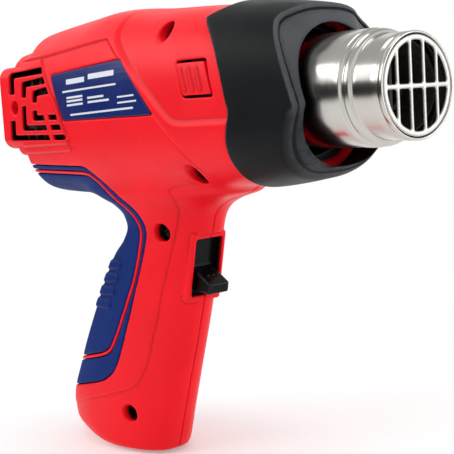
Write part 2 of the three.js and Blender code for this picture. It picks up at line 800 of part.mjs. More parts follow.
// Motor, its mount, the fan on its shaft and the board on its terminals
const motorRear = -motorFrontPlace - motorLength;
const shaftFront = motorRear + shaftBury;
add('motor', joined([
  bar('x', motorRadius, motorRear, -motorFrontPlace, [0, 0], roundSides),
  bar('x', motorBossRadius, motorRear - motorBossLength, motorRear),
]).subtract(bar('x', shaftRadius + seatGap, motorRear - motorBossLength - past, shaftFront)), 'zinc');

const mountFront = motorRear - seatGap;
const mountRear = mountFront - mountThickness;
const mountSpokes = joined(Array.from({ length: mountSpokeCount }, (_, i) => block(
  -far, far, 0, far, -mountSpokeWidth / 2, mountSpokeWidth / 2,
).rotate([(360 * (i + 0.5)) / mountSpokeCount, 0, 0])));
const mountWindow = bar('x', fanRadius + past, -far, far, [0, 0], roundSides)
  .subtract(bar('x', motorBossRadius + mountHubWall, -far, far))
  .subtract(mountSpokes);
add('motor_mount', barrel(wall + seatGap)
  .intersect(block(mountRear, mountFront, -far, far, -mountReach, mountReach))
  .subtract(mountWindow)
  .subtract(bar('x', motorBossRadius + seatGap, -far, far)), 'black');

const fanFront = mountRear - fanStandOff;
const fanRear = fanFront - fanDepth;
const shaftRear = fanRear - shaftTail;
add('motor_shaft', bar('x', shaftRadius, shaftRear, shaftFront - seatGap), 'steel');
const bladeChord = fanDepth / Math.cos(THREE.MathUtils.degToRad(fanBladeTilt)) * bladeFill;
const blade = block(
  -bladeChord / 2, bladeChord / 2,
  fanHubRadius - bladeRoot, fanRadius,
  -fanBladeThickness / 2, fanBladeThickness / 2,
).rotate([0, fanBladeTilt, 0]).translate([(fanFront + fanRear) / 2, 0, 0]);
const blades = joined(Array.from({ length: fanBladeCount }, (_, i) => (
  blade.rotate([(360 * i) / fanBladeCount, 0, 0])
)));
add('fan_impeller', bar('x', fanHubRadius, fanRear, fanFront)
  .add(blades)
  .subtract(bar('x', shaftRadius + shaftFit, -far, far)), 'black');

const boardRear = -motorFrontPlace + seatGap;
const boardFront = boardRear + boardThickness;
const diodes = [-1, 1].flatMap((a) => [-1, 1].map((b) => block(
  boardFront - bury, boardFront + diodeRadius * 2,
  a * diodePlace - diodeLength / 2, a * diodePlace + diodeLength / 2,
  b * diodePlace - diodeRadius, b * diodePlace + diodeRadius,
)));
add('motor_board', joined([
  bar('x', boardRadius, boardRear, boardFront, [0, 0], roundSides),
  bar('x', capacitorRadius, boardFront - bury, boardFront + capacitorLength),
  ...diodes,
]), 'board');

// Dust screens inside the rear slots
const screenOuter = ventBlock.halfWidth - wall - seatGap;
const screenReach = ventBlock.top - wall - screenMargin;
const screenHoles = [];
for (let row = 0; row < screenRows; row += 1) {
  for (let column = 0; column < screenColumns; column += 1) {
    const x = screenRear + screenEdge + column * screenPitch;
    const z = -screenReach + screenEdge + row * screenPitch;
    screenHoles.push(block(x, x + screenHole, -far, far, z, z + screenHole));
  }
}
const screen = (y0, y1) => block(screenRear, screenFront, y0, y1, -screenReach, screenReach)
  .subtract(joined(screenHoles))
  .intersect(squareLoft(ventBlock, wall + seatGap));
add('dust_screen_right', screen(-screenOuter, -screenOuter + screenThickness), 'zinc');
add('dust_screen_left', screen(screenOuter - screenThickness, screenOuter), 'zinc');

// Switch: the body is fixed in the handle, the knob and its shutter slide in front of it
const stemSlot = block(
  bodyBack + switchBodyWall, far, -stemHalfWidth - slideGap, stemHalfWidth + slideGap,
  shutterLow + stemMargin - slideGap, shutterLow + stemMargin + stemHeight + switchTravel + slideGap,
);
add('switch_body', onSwitch(block(
  bodyBack, bodyFront, -switchBodyHalfWidth, switchBodyHalfWidth, bodyLow, bodyTop,
).subtract(stemSlot)), 'black');
const knobLow = shutterLow + slideGap;
const knob = plate([
  [plateBack + knobRoot, knobLow],
  [knobReach, knobLow + knobUndercut],
  [knobReach, knobLow + knobTipHeight + knobUndercut],
  [plateBack + knobRoot, knobLow + knobHeight],
], -knobHalfWidth, knobHalfWidth);
add('switch_slider', onSwitch(joined([
  block(plateBack, -shutterDepth, -shutterHalfWidth, shutterHalfWidth, shutterLow, shutterHigh),
  knob,
  block(
    bodyFront - stemLength, plateBack + bury, -stemHalfWidth, stemHalfWidth,
    shutterLow + stemMargin, shutterLow + stemMargin + stemHeight,
  ),
])), 'gloss');

// Screws: a head on the right half's seat and a shank into the left half's post
for (const { name, x, z, recess } of screwPlaces) {
  const headLow = -screwSeatDepth - seatGap - screwHeadHeight;
  const head = bar('y', recess - screwHeadGap, headLow, -screwSeatDepth - seatGap, [x, z]);
  const drive = block(
    x - screwDriveLength / 2, x + screwDriveLength / 2, headLow - past, headLow + screwDriveDepth,
    z - screwDriveWidth / 2, z + screwDriveWidth / 2,
  );
  const shank = bar('y', screwShankRadius, -screwSeatDepth - past, screwReach, [x, z]);
  add(`housing_screw_${name}`, head.add(shank).subtract(drive), 'zinc');
}

// Rating plate, bare
add('rating_plate', layer(0, plateThickness - plateBed).intersect(plate(plateOutline, -far, 0)), 'navy');

// Release tabs for the guard: each bends in at its rear edge
const tabRibs = Array.from({ length: tabRibCount }, (_, i) => {
  const middle = tabRibShift + (i - (tabRibCount - 1) / 2) * tabRibPitch;
  const x = (tabRootTop[0] + tabRootLow[0] + tabLength) / 2 + middle;
  const lean = (tabRootLow[0] - tabRootTop[0]) / (tabRootTop[1] - tabRootLow[1]) * tabRibReach;
  const z = (tabRootTop[1] + tabRootLow[1]) / 2;
  return plate([
    [x - lean, z + tabRibReach], [x - lean + tabRibWidth, z + tabRibReach],
    [x + lean + tabRibWidth, z - tabRibReach], [x + lean, z - tabRibReach],
  ], -far, far);
});
const tabs = barrel(0).subtract(tabInner).intersect(plate(tabOutline, -far, far))
  .add(barrel(-tabRibHeight).subtract(tabInner).intersect(joined(tabRibs)));
add('release_tab_right', tabs.intersect(rightSide), 'red');
add('release_tab_left', tabs.intersect(leftSide), 'red');

// Cord inlet: a rubber gland in the foot, and inside it a clamp bar on two screws
const glandSeat = footZ + wall + seatGap;
const glandTop = glandSeat + glandFlangeThickness;
const glandLow = footZ - glandProud;
const glandBore = bar('z', glandBoreRadius, glandLow - past, glandTop + past, [inletX, 0], roundSides);
add('cord_gland', joined([
  bar('z', glandNeckRadius, glandLow, glandTop, [inletX, 0], roundSides),
  bar('z', glandFlangeRadius, glandSeat, glandTop, [inletX, 0], roundSides),
]).subtract(glandBore), 'rubber');
const clampY = clampFaceY - seatGap;
add('cord_clamp', block(
  inletX - clampReach, inletX + clampReach, clampY - clampThickness, clampY,
  clampTop - clampWidth / 2, clampTop + clampWidth / 2,
).subtract(joined([-1, 1].map((side) => bar(
  'y', clampScrewRadius + seatGap, -far, far, [inletX + side * clampScrewPitch / 2, clampTop],
)))), 'black');
[-1, 1].forEach((side, i) => {
  const place = [inletX + side * clampScrewPitch / 2, clampTop];
  const seat = clampY - clampThickness - seatGap;
  add(`clamp_screw_${i + 1}`, joined([
    bar('y', clampScrewHeadRadius, seat - clampScrewHeadHeight, seat, place),
    bar('y', clampScrewRadius, seat - bury, clampFaceY + clampScrewLength, place),
  ]), 'zinc');
});

export default gun;
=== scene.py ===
"""Hot air tool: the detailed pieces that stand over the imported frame, as an add-on that is run as a script.

The pieces are worked out in millimetres and stored in metres, in the frame's own axes:
+X is the way the air leaves, +Z is up, and the housing halves meet at Y = 0.
"""
import math

import bpy
import numpy as np
from mathutils import Matrix, Vector


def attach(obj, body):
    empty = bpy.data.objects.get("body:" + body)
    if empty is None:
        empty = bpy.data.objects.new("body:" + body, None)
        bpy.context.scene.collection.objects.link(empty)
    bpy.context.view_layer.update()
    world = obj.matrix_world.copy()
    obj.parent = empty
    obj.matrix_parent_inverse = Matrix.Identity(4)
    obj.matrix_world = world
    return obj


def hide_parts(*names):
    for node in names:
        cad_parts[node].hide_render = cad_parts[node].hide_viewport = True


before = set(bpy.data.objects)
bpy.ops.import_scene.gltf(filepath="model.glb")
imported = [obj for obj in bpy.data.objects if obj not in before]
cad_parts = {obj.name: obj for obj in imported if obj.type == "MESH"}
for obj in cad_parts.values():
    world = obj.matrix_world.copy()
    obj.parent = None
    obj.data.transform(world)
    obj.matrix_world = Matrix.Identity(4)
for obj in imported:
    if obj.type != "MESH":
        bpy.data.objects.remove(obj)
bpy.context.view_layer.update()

bl_info = {
    "name": "Hot air tool",
    "version": (1, 0, 0),
    "blender": (4, 5, 0),
    "location": "3D View > Sidebar > Hot air tool",
    "description": "Builds the dressed pieces of a hot air tool over its packed frame",
    "category": "Object",
}

MM = 0.001

# Sizes of the form, in millimetres. Outlines are points in X and Z, seen from the side.
SECTION_POWER = 2.7
BARREL = np.array([  # place, half width, top, bottom
    (-223, 23.6, 33.4, -37.0), (-217, 24.4, 34.0, -39.6), (-208, 25.2, 34.9, -40.2),
    (-190, 26.6, 36.4, -40.4), (-170, 28.0, 37.8, -40.4), (-150, 29.0, 39.0, -39.6),
    (-120, 29.4, 36.8, -37.6), (-90, 29.4, 35.0, -35.4), (-62, 28.8, 32.2, -32.2),
    (-46, 27.2, 30.0, -29.6), (-34, 25.4, 27.4, -27.2), (-27, 24.0, 25.4, -25.4),
])
HANDLE_POWER = 2.5
NOSE_SHARE = 0.8
NOSE_START = -0.3
HANDLE = np.array([  # height, back, front, half width
    (-155.2, -187.0, -150.0, 14.5), (-153.8, -196.5, -146.2, 18.0), (-150.6, -206.5, -144.2, 19.6),
    (-146.0, -213.8, -142.4, 20.3), (-139.0, -215.2, -140.0, 20.4), (-120.0, -207.4, -133.0, 19.6),
    (-88.0, -188.6, -121.4, 18.2), (-75.0, -179.4, -117.4, 17.8), (-66.0, -172.2, -114.8, 17.4),
    (-59.0, -164.0, -112.8, 17.2), (-53.0, -160.2, -111.0, 17.4), (-48.0, -161.6, -109.2, 18.4),
    (-43.5, -168.0, -105.0, 20.2), (-40.5, -178.0, -98.0, 21.6), (-36.5, -186.0, -86.0, 22.6),
    (-24.0, -188.0, -80.0, 23.0),
])
FOOT = -155.2
BARREL_REAR = -223.0
BARREL_FRONT = -27.0
GUARD_REAR = [
    (-70, 60), (-71.5, 34), (-78.9, 30), (-79.4, 29), (-77, 26.6), (-71.9, 22), (-67.5, 16), (-64, 7.3),
    (-62.3, -0.8), (-60.8, -5.3), (-62.9, -10.6), (-64.8, -15.5), (-65.4, -22), (-64.8, -33), (-62, -60),
]
FLANK = [
    (-226, 60), (-226, 21.5), (-195, 22.6), (-141, 26.3), (-121.7, 10.9), (-107.3, -4.3),
    (-96.4, -15.2), (-88.8, -24.1), (-83.6, -29.8), (-79, -60), (-40, -60), (-40, 60),
]
PANEL = [(-137, 60), (-133.7, 27.3), (-96, -5.8), (-91.3, -7.2), (-50, -6.8), (-50, 60)]
BORDER = [
    (-260, -26.5), (-168, -26.5), (-163.5, -29), (-149, -37.5), (-139.5, -43.8), (-136, -50), (-135.5, -54.5),
    (-138.5, -62), (-148, -83), (-161, -111), (-166, -119), (-174, -124), (-260, -146),
]
PAD = [
    (-260, -30.5), (-168.5, -30.5), (-163, -33), (-151, -41), (-143, -47), (-140, -52), (-140, -56),
    (-147, -74), (-161.5, -99), (-167, -107.5), (-172, -110.5), (-260, -132),
]
LABEL = [(-188, 14), (-128, 17.5), (-108, -5), (-177.5, -6)]
TAB_SLOT = [(-91.6, 14.4), (-74, 14.4), (-70, 0.4), (-87.6, 0.4)]
SCREWS = {  # place, height and radius of each recess
    "rear": (-225, 0.9, 3.2), "top": (-103, 26, 3.8), "belly": (-93, -28.6, 3.8), "neck": (-127, -54, 3.8),
    "handle": (-159, -137, 3.8),
}
WALL = 2.6
GUARD_PROUD = 1.8
GUARD_WALL = 2.6
SPIGOT_INSET = 1.3
SPIGOT_FRONT = -50.0
SPIGOT_WALL = 2.2
SPIGOT_BLEND = (-92.0, -84.0)
NOZZLE_BORE = 22.6
BORE_REAR = -86.0
PARTING_GAP = 0.15
PARTING_TOUCH = 0.02
PARTING_DEPTHS = (-1.5, -0.9)
# Painted shade: the nozzle's mouth, within this radius and in front of the next place, counts as solid, so
# that its inside is painted near black.
MOUTH_SHADE = 26.0
MOUTH_REAR = -100.0
# Screw holes are kept clear of the painted shade down to this depth under the skin.
HOLE_UNSHADED = 2.0
SEAT_GAP = 0.3
POST_WALL = 1.6
SCREW_SEAT = 9.0
SHANK_HOLE = (1.8, 11.0)
WEBS = ((-114.1, 20.3), (-118.5, 16.8))  # rear face and bore of the ribs that hold the nozzle
WEB_THICKNESS = 2.2
WEB_REACH = 31.0
INNER_INSET = 0.3
GRIP_DEPTH = 1.4
GRIP_GAP = 0.4
STRIPE = 2.1
PLATE_DEPTH = 0.7
PLATE_SHEET = 0.5
PLATE_SINK = 0.02
TAB_DEPTH = 2.0
TAB_INSIDE = 24.0
NOZZLE_RADIUS = 17.7
NOZZLE_REAR_RADIUS = 20.0
NOZZLE_WALL = 0.9
SWITCH_CENTRE = np.array((-116.5, 0.0, -69.3))
SWITCH_LEAN = math.radians(14)
WINDOW = (6.9, 12.2)
RIM = 1.9
RIM_LOW = 3.5
RIM_TOP = 2.6
FRAME_REACH = 9.0
SWITCH_CUTS = (  # corners and rounding of the window, the shutter's run and the switch body's room
    ((-9, -6.9, -12.8), (2, 6.9, 12.5), 0.9),
    ((-6.2, -7.8, -12.2), (-3.8, 7.8, 25.7), 0.2),
    ((-20.3, -6.9, -22.1), (-5.8, 6.9, 4.5), 0.2),
)
INLET_X = -177.0
INLET_RADIUS = 6.25
INLET_DEPTH = 4.0
HOUSING_BOX = ((-239.6, -1.2, -157), (-47.5, 31.8, 41.5))
GRIP_BOX = ((-228, -1.0, -137.5), (-133, 24.5, -25))
GUARD_BOX = ((-88, -32.5, -39), (-27.5, 32.5, 41))
GRILLE_BOX = ((-1.6, -17, -17), (0.4, 17, 17))
SWITCH_BOX = ((-131, -8.4, -85), (-105, 8.4, -53))
PLATE_BOX = ((-190, 23, -8), (-106, 31, 19.5))
TAB_BOX = ((-93, 22, -1), (-69, 32, 16))


# Distance fields: under 0 inside a body, over 0 outside it.
class Grid:
    """Points at an even step in a box, in millimetres, with X, Y and Z ready to combine."""

    def __init__(self, low, high, step):
        self.step = step
        axes = []
        for start, end in zip(low, high):
            count = int(math.ceil((end - start) / step)) + 1
            axes.append((start + step * np.arange(count)).astype(np.float32))
        self.low = np.array([axis[0] for axis in axes])
        self.x, self.y, self.z = np.meshgrid(*axes, indexing="ij", sparse=True)

    def window(self, low, high):
        """The slices of a smaller box, and its own grid."""
        cuts = []
        for axis, start, end in zip((self.x, self.y, self.z), low, high):
            places = axis.ravel()
            first, last = np.searchsorted(places, (start, end))
            cuts.append(slice(max(int(first) - 1, 0), min(int(last) + 1, len(places))))
        part = Grid.__new__(Grid)
        part.step = self.step
        part.x = self.x[cuts[0]]
        part.y = self.y[:, cuts[1]]
        part.z = self.z[:, :, cuts[2]]
        return tuple(cuts), part

    def shape(self):
        """How many points lie along each axis."""
        return (self.x.size, self.y.size, self.z.size)


def union(a, b, fillet=0.0):
    """Both bodies, with a fillet where they meet."""
    low = np.minimum(a, b)
    if fillet:
        low = low - np.maximum(fillet - np.abs(a - b), 0) ** 2 / (4 * fillet)
    return low


def common(a, b, edge=0.0):
    """What two bodies share, with its new edge eased."""
    return -union(-a, -b, edge)


def minus(a, b, edge=0.0):
    """The first body without the second, with its new edge eased."""
    return common(a, -b, edge)


def mixed(share, first, second):
    """The first where the share is 0, turning into the second where it is 1."""
    return (1 - share) * first + share * second


def smooth(value, start, end):
    """0 before start, 1 after end and a soft slope between."""
    t = np.clip((value - start) / (end - start), 0, 1)
    return t * t * (3 - 2 * t)


def through(stations, column, places):
    """A smooth curve through one column of the stations, which never swings past them."""
    xs, ys = stations[:, 0], stations[:, column]
    steps = np.diff(xs)
    slopes = np.diff(ys) / steps
    rates = np.zeros(len(xs))
    rates[0], rates[-1] = slopes[0], slopes[-1]
    same = slopes[:-1] * slopes[1:] > 0
    ahead, behind = 2 * steps[1:] + steps[:-1], steps[1:] + 2 * steps[:-1]
    with np.errstate(divide="ignore", invalid="ignore"):
        mean = (ahead + behind) / (ahead / slopes[:-1] + behind / slopes[1:])
    rates[1:-1] = np.where(same, mean, 0)
    at = np.clip(places, xs[0], xs[-1])
    i = np.clip(np.searchsorted(xs, at, side="right") - 1, 0, len(xs) - 2)
    h = steps[i]
    t = (at - xs[i]) / h
    value = ((1 + 2 * t) * (1 - t) ** 2 * ys[i] + t * (1 - t) ** 2 * h * rates[i]
             + t * t * (3 - 2 * t) * ys[i + 1] + t * t * (t - 1) * h * rates[i + 1])
    return value.astype(np.float32)


def softened(points, reach, closed=True, count=5):
    """An outline with every corner turned into a short curve that starts within reach of it."""
    points = [np.array(p, float) for p in points]
    out = []
    for i, corner in enumerate(points):
        if not closed and i in (0, len(points) - 1):
            out.append(corner)
            continue
        before, after = points[i - 1], points[(i + 1) % len(points)]
        legs = []
        for other in (before, after):
            leg = other - corner
            length = np.linalg.norm(leg)
            legs.append(leg / length * min(reach, 0.45 * length))
        for t in np.linspace(0, 1, count):
            out.append(corner + legs[0] * (1 - t) ** 2 + legs[1] * t ** 2)
    return out


def line_distance(x, z, points, closed=False):
    """How far each point in X and Z is from a line through the points."""
    px, pz = np.broadcast_arrays(x, z)
    best = np.full(px.shape, 1e6, np.float32)
    ends = points[1:] + points[:1] if closed else points[1:]
    for (ax, az), (bx, bz) in zip(points, ends):
        ex, ez = bx - ax, bz - az
        t = np.clip(((px - ax) * ex + (pz - az) * ez) / (ex * ex + ez * ez), 0, 1)
        best = np.minimum(best, (px - ax - t * ex) ** 2 + (pz - az - t * ez) ** 2)
    return np.sqrt(best)


def outline_distance(x, z, points):
    """How far each point in X and Z is outside a closed outline; negative inside."""
    points = [tuple(p) for p in points]
    px, pz = np.broadcast_arrays(x, z)
    inside = np.zeros(px.shape, bool)
    for (ax, az), (bx, bz) in zip(points, points[1:] + points[:1]):
        if az != bz:
            inside ^= ((az > pz) != (bz > pz)) & (px < (bx - ax) * (pz - az) / (bz - az) + ax)
    reach = line_distance(x, z, points, closed=True)
    return np.where(inside, -reach, reach)


def axis_distance(grid):
    """How far each point is from the nozzle's axis."""
    return np.sqrt(grid.y ** 2 + grid.z ** 2)


def oval(across, up, power, wide, tall):
    """Distance from a squarish oval, from the powers of its two shares and its half sizes."""
    total = across + up + 1e-6
    near = total ** (1 / power)
    edge = (power - 1) / power
    return (near - 1) * total / near / np.sqrt((across ** edge / wide) ** 2 + (up ** edge / tall) ** 2 + 1e-9)


def barrel_form(grid, grow=0.0, side=0.0):
    """Distance from the barrel's skin. Grow moves all of it out, and side only its flanks."""
    half = through(BARREL, 1, grid.x) + grow + side
    top = through(BARREL, 2, grid.x) + grow
    bottom = through(BARREL, 3, grid.x) - grow
    middle, tall = (top + bottom) / 2, (top - bottom) / 2
    across = (np.abs(grid.y) / half) ** SECTION_POWER
    up = (np.abs(grid.z - middle) / tall) ** SECTION_POWER
    return oval(across, up, SECTION_POWER, half, tall)


def handle_form(grid, grow=0.0, side=0.0):
    """Distance from the handle's skin, narrower towards the fingers than at the palm."""
    back = through(HANDLE, 1, grid.z) - grow
    front = through(HANDLE, 2, grid.z) + grow
    reach, middle = (front - back) / 2, (front + back) / 2
    lean = np.gradient(middle.ravel(), grid.step).reshape(middle.shape)
    taper = np.gradient(reach.ravel(), grid.step).reshape(reach.shape)
    along = (grid.x - middle) / reach
    nose = smooth(along, NOSE_START, 1)
    wide = through(HANDLE, 3, grid.z) * (1 - (1 - NOSE_SHARE) * nose) + grow + side
    share = np.abs(along)
    turn = np.sqrt(1 + (np.sign(along) * lean + np.minimum(share, 1) * taper) ** 2)
    across = np.abs(grid.y) ** HANDLE_POWER * wide ** -HANDLE_POWER
    up = share ** HANDLE_POWER
    return oval(across, up, HANDLE_POWER, wide, reach / turn)


# Fields into meshes
CORNERS = [(i, j, k) for i in (0, 1) for j in (0, 1) for k in (0, 1)]
SETTLE_ROUNDS = 2
SETTLE_REACH = 0.5
LEAST_SLOPE = 0.5
NORMAL_REACH = 0.6
EDGE_REACH = 0.6


def sampled(field, grid, points):
    """The field's value at any points in the grid's box."""
    at = np.clip((points - grid.low) / grid.step, 0, np.array(field.shape) - 1.001)
    base = at.astype(int)
    share = at - base
    total = np.zeros(len(points))
    for corner in CORNERS:
        weight = np.prod(np.where(corner, share, 1 - share), axis=1)
        total += weight * field[base[:, 0] + corner[0], base[:, 1] + corner[1], base[:, 2] + corner[2]]
    return total


def slopes(field, grid, points, reach):
    """Which way and how fast the field grows at each point."""
    out = np.empty_like(points)
    for axis in range(3):
        step = np.zeros(3)
        step[axis] = reach
        out[:, axis] = sampled(field, grid, points + step) - sampled(field, grid, points - step)
    return out / (2 * reach)


def sharpness(field, grid, points, reach):
    """How tightly the surface bends at each point: over 0 on an outer edge, under 0 in a corner."""
    total = -6 * sampled(field, grid, points)
    for axis in range(3):
        step = np.zeros(3)
        step[axis] = reach
        total += sampled(field, grid, points + step) + sampled(field, grid, points - step)
    return total / reach ** 2


def skin(field, grid):
    """Points and four-sided faces of the surface where the field is 0."""
    low = field < 0
    cells = tuple(n - 1 for n in field.shape)
    count = np.zeros(cells, np.uint8)
    for i, j, k in CORNERS:
        count += low[i:i + cells[0], j:j + cells[1], k:k + cells[2]]
    place = np.nonzero((count > 0) & (count < 8))
    number = np.full(cells, -1, np.int32)
    number[place] = np.arange(len(place[0]))
    base = np.stack(place, 1)
    value = {c: field[base[:, 0] + c[0], base[:, 1] + c[1], base[:, 2] + c[2]] for c in CORNERS}
    total, hits = np.zeros(base.shape), np.zeros(len(base))
    for start in CORNERS:
        for axis in range(3):
            if start[axis]:
                continue
            end = tuple(1 if n == axis else c for n, c in enumerate(start))
            a, b = value[start], value[end]
            crossing = (a < 0) != (b < 0)
            point = np.tile(np.array(start, float), (int(crossing.sum()), 1))
            point[:, axis] = a[crossing] / (a[crossing] - b[crossing])
            total[crossing] += point
            hits[crossing] += 1
    points = grid.low + grid.step * (base + total / hits[:, None])
    faces = []
    for axis in range(3):
        b, c = (axis + 1) % 3, (axis + 2) % 3
        first = [slice(None)] * 3
        second = [slice(None)] * 3
        first[axis], second[axis] = slice(0, -1), slice(1, None)
        for other in (b, c):
            first[other] = second[other] = slice(1, -1)
        inside = low[tuple(first)]
        at = np.stack(np.nonzero(inside != low[tuple(second)]), 1)
        at[:, b] += 1
        at[:, c] += 1
        corners = []
        for db, dc in ((-1, -1), (0, -1), (0, 0), (-1, 0)):
            cell = at.copy()
            cell[:, b] += db
            cell[:, c] += dc
            corners.append(number[cell[:, 0], cell[:, 1], cell[:, 2]])
        quads = np.stack(corners, 1)
        outward = low[at[:, 0], at[:, 1], at[:, 2]]
        quads[~outward] = quads[~outward][:, ::-1]
        faces.append(quads)
    return points, np.concatenate(faces)


def mesh_of(name, points, faces):
    """A mesh from points in millimetres and faces of one length."""
    mesh = bpy.data.meshes.new(name)
    size = faces.shape[1]
    mesh.vertices.add(len(points))
    mesh.vertices.foreach_set("co", (points * MM).astype(np.float32).ravel())
    mesh.loops.add(faces.size)
    mesh.loops.foreach_set("vertex_index", faces.astype(np.int32).ravel())
    mesh.polygons.add(len(faces))
    mesh.polygons.foreach_set("loop_start", np.arange(0, faces.size, size, dtype=np.int32))
    mesh.update(calc_edges=True)
    mesh.shade_smooth()
    return mesh


def placed(mesh):
    """A new object that shows a mesh."""
    piece = bpy.data.objects.new(mesh.name, mesh)
    bpy.context.scene.collection.objects.link(piece)
    return piece


def thinned(mesh, keep):
    """The same surface with fewer faces."""
    if keep >= 1:
        return mesh
    piece = placed(mesh)
    fewer = piece.modifiers.new("fewer", "DECIMATE")
    fewer.ratio = keep
    ready = piece.evaluated_get(bpy.context.evaluated_depsgraph_get())
    out = bpy.data.meshes.new_from_object(ready)
    bpy.data.objects.remove(piece)
    bpy.data.meshes.remove(mesh)
    return out


def formed(name, field, grid, side=0, keep=1.0, solid=None):
    """A piece with the field's surface. Side mirrors a half that was worked out at Y > 0: -1 right, 1 left.

    Where a solid is given, each point also keeps how deep it lies in it, for the shade painted inside the
    piece.
    """
    points, faces = skin(field, grid)
    mesh = thinned(mesh_of(name, points, faces), keep)
    points = np.empty(len(mesh.vertices) * 3, np.float32)
    mesh.vertices.foreach_get("co", points)
    points = points.reshape(-1, 3).astype(float) / MM
    for _ in range(SETTLE_ROUNDS):
        slope = slopes(field, grid, points, grid.step / 2)
        size = np.maximum((slope ** 2).sum(1), LEAST_SLOPE ** 2)
        move = -slope * (sampled(field, grid, points) / size)[:, None]
        far = np.linalg.norm(move, axis=1, keepdims=True)
        points = points + move * np.minimum(1, SETTLE_REACH * grid.step / np.maximum(far, 1e-6))
    normal = slopes(field, grid, points, grid.step * NORMAL_REACH)
    normal /= np.maximum(np.linalg.norm(normal, axis=1, keepdims=True), 1e-6)
    values = {"edge": np.clip(sharpness(field, grid, points, max(EDGE_REACH, grid.step)), -1, 1)}
    if solid is not None:
        values["inside"] = -sampled(solid, grid, points)
    if side:
        points[:, 1] *= side
        normal[:, 1] *= side
    mesh.vertices.foreach_set("co", (points * MM).astype(np.float32).ravel())
    if side < 0:
        mesh.flip_normals()
    for kind, value in values.items():
        mesh.attributes.new(kind, "FLOAT", "POINT").data.foreach_set("value", value.astype(np.float32))
    mesh.update()
    mesh.shade_smooth()
    mesh.normals_split_custom_set_from_vertices(normal.tolist())
    mesh.name = name
    return placed(mesh)


def finish_piece(piece, material, body, slot, *nodes):
    """Paints a piece, lets it ride on its body and has it stand for its nodes."""
    piece.data.materials.clear()
    piece.data.materials.append(material)
    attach(piece, body)
    if nodes:
        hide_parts(*nodes)


def step_for(fine):
    return fine


# The casing's form: how far each step stands out, its outlines, and the rear block's sections in Y and Z
CLIP = 6.0
FLANK_RAISE = 1.2
RIDGE_BEVEL = 3.2
STEP_WIDTH = 0.7
RIM_WIDTH = 0.8
RIM_RAISE = 0.35
VENT_RAISE = 1.1
LEDGE_RAISE = 0.5
NOSE_RAISE = -0.35
DOME_HEIGHTS = (21.0, 26.0)
DOME_ROUND = 15.0
REAR_ROUND = 1.6
FRONT_ROUND = 2.5
BLOCK_ROUND = 1.2
FOOT_ROUND = 1.5
HANDLE_TOP = -24.0
HANDLE_FILLET = 5.0
GROOVE_WIDTH = 0.5
GROOVE_DEPTH = 0.7
VENT_BLOCK = (-238.0, -186.0)
VENT_COLLAR = (-229.0, -200.0)
BLOCK_SECTION = [(25.2, -14.6), (23.4, -17.4), (21.0, -18.7), (-21.0, -18.7), (-23.4, -17.4), (-25.2, -14.6),
                 (-25.2, 15.8), (-23.4, 18.8), (-21.0, 20.0), (21.0, 20.0), (23.4, 18.8), (25.2, 15.8)]
COLLAR_SECTION = [(23.6, -16.0), (22.2, -20.0), (20.5, -21.9), (-20.5, -21.9), (-22.2, -20.0), (-23.6, -16.0),
                  (-23.6, 15.0), (-20.5, 21.6), (-17.2, 24.6), (-12.0, 26.4), (12.0, 26.4), (17.2, 24.6),
                  (20.5, 21.6), (23.6, 15.0)]
VENT_FRAME = [(-260, 20.6), (-199, 22.4), (-189.6, 11.2), (-180.8, 0.1), (-173.8, -15.2), (-175.2, -16.5),
              (-222.3, -18), (-260, -18.6)]
VENT_LEDGE = [(-260, 25), (-200, 24), (-190, 0), (-173.0, -18.4), (-174.9, -19.8), (-217.8, -21.2),
              (-260, -22.2)]
VENT_RIM = [(-199.2, 22.1), (-190.2, 11.2), (-181.4, 0.1), (-174.4, -15.2)]
FLANK_GROOVE = [(-141.6, 26.4), (-121.7, 10.9), (-107.3, -4.3), (-96.4, -15.2), (-88.8, -24.1),
                (-83.6, -29.8), (-79.4, -35.1)]
NOSE_CREASE = [
    (-90, -20), (-90, -31.4), (-100.8, -31.9), (-108.9, -33.1), (-114, -34.2), (-114.6, -36), (-114.6, -39.1),
    (-116.6, -43.9), (-118.9, -48.1), (-122.2, -55.7), (-126.1, -64.6), (-132, -78.3), (-137.1, -91.9),
    (-140.2, -98.9), (-145.6, -112.4), (-151.6, -121.5), (-156.9, -124.9), (-171.9, -129.6), (-203.2, -139.1),
    (-240, -150), (-240, -200), (-60, -200), (-60, -20),
]


def raise_map(grid):
    """How far the flanks stand out over X and Z: ridge, label recess, vent frame, ledge and grip crease."""
    x, z = grid.x, grid.z
    flank = smooth(-outline_distance(x, z, softened(FLANK, 4)), 0, STEP_WIDTH)
    flank = flank * smooth(outline_distance(x, z, softened(PANEL, 5)), 0, RIDGE_BEVEL)
    groove = np.exp(-(line_distance(x, z, softened(FLANK_GROOVE, 6, closed=False)) / GROOVE_WIDTH) ** 2)
    vent = smooth(-outline_distance(x, z, softened(VENT_FRAME, 1.5)), 0, STEP_WIDTH)
    ledge = smooth(-outline_distance(x, z, softened(VENT_LEDGE, 1.5)), 0, STEP_WIDTH)
    rim = np.exp(-(line_distance(x, z, softened(VENT_RIM, 6, closed=False)) / RIM_WIDTH) ** 2)
    nose = smooth(-outline_distance(x, z, softened(NOSE_CREASE, 2)), 0, STEP_WIDTH) * smooth(-z, 26, 36)
    return (FLANK_RAISE * flank - GROOVE_DEPTH * groove + VENT_RAISE * vent + LEDGE_RAISE * ledge * (1 - vent)
            + RIM_RAISE * rim + NOSE_RAISE * nose)


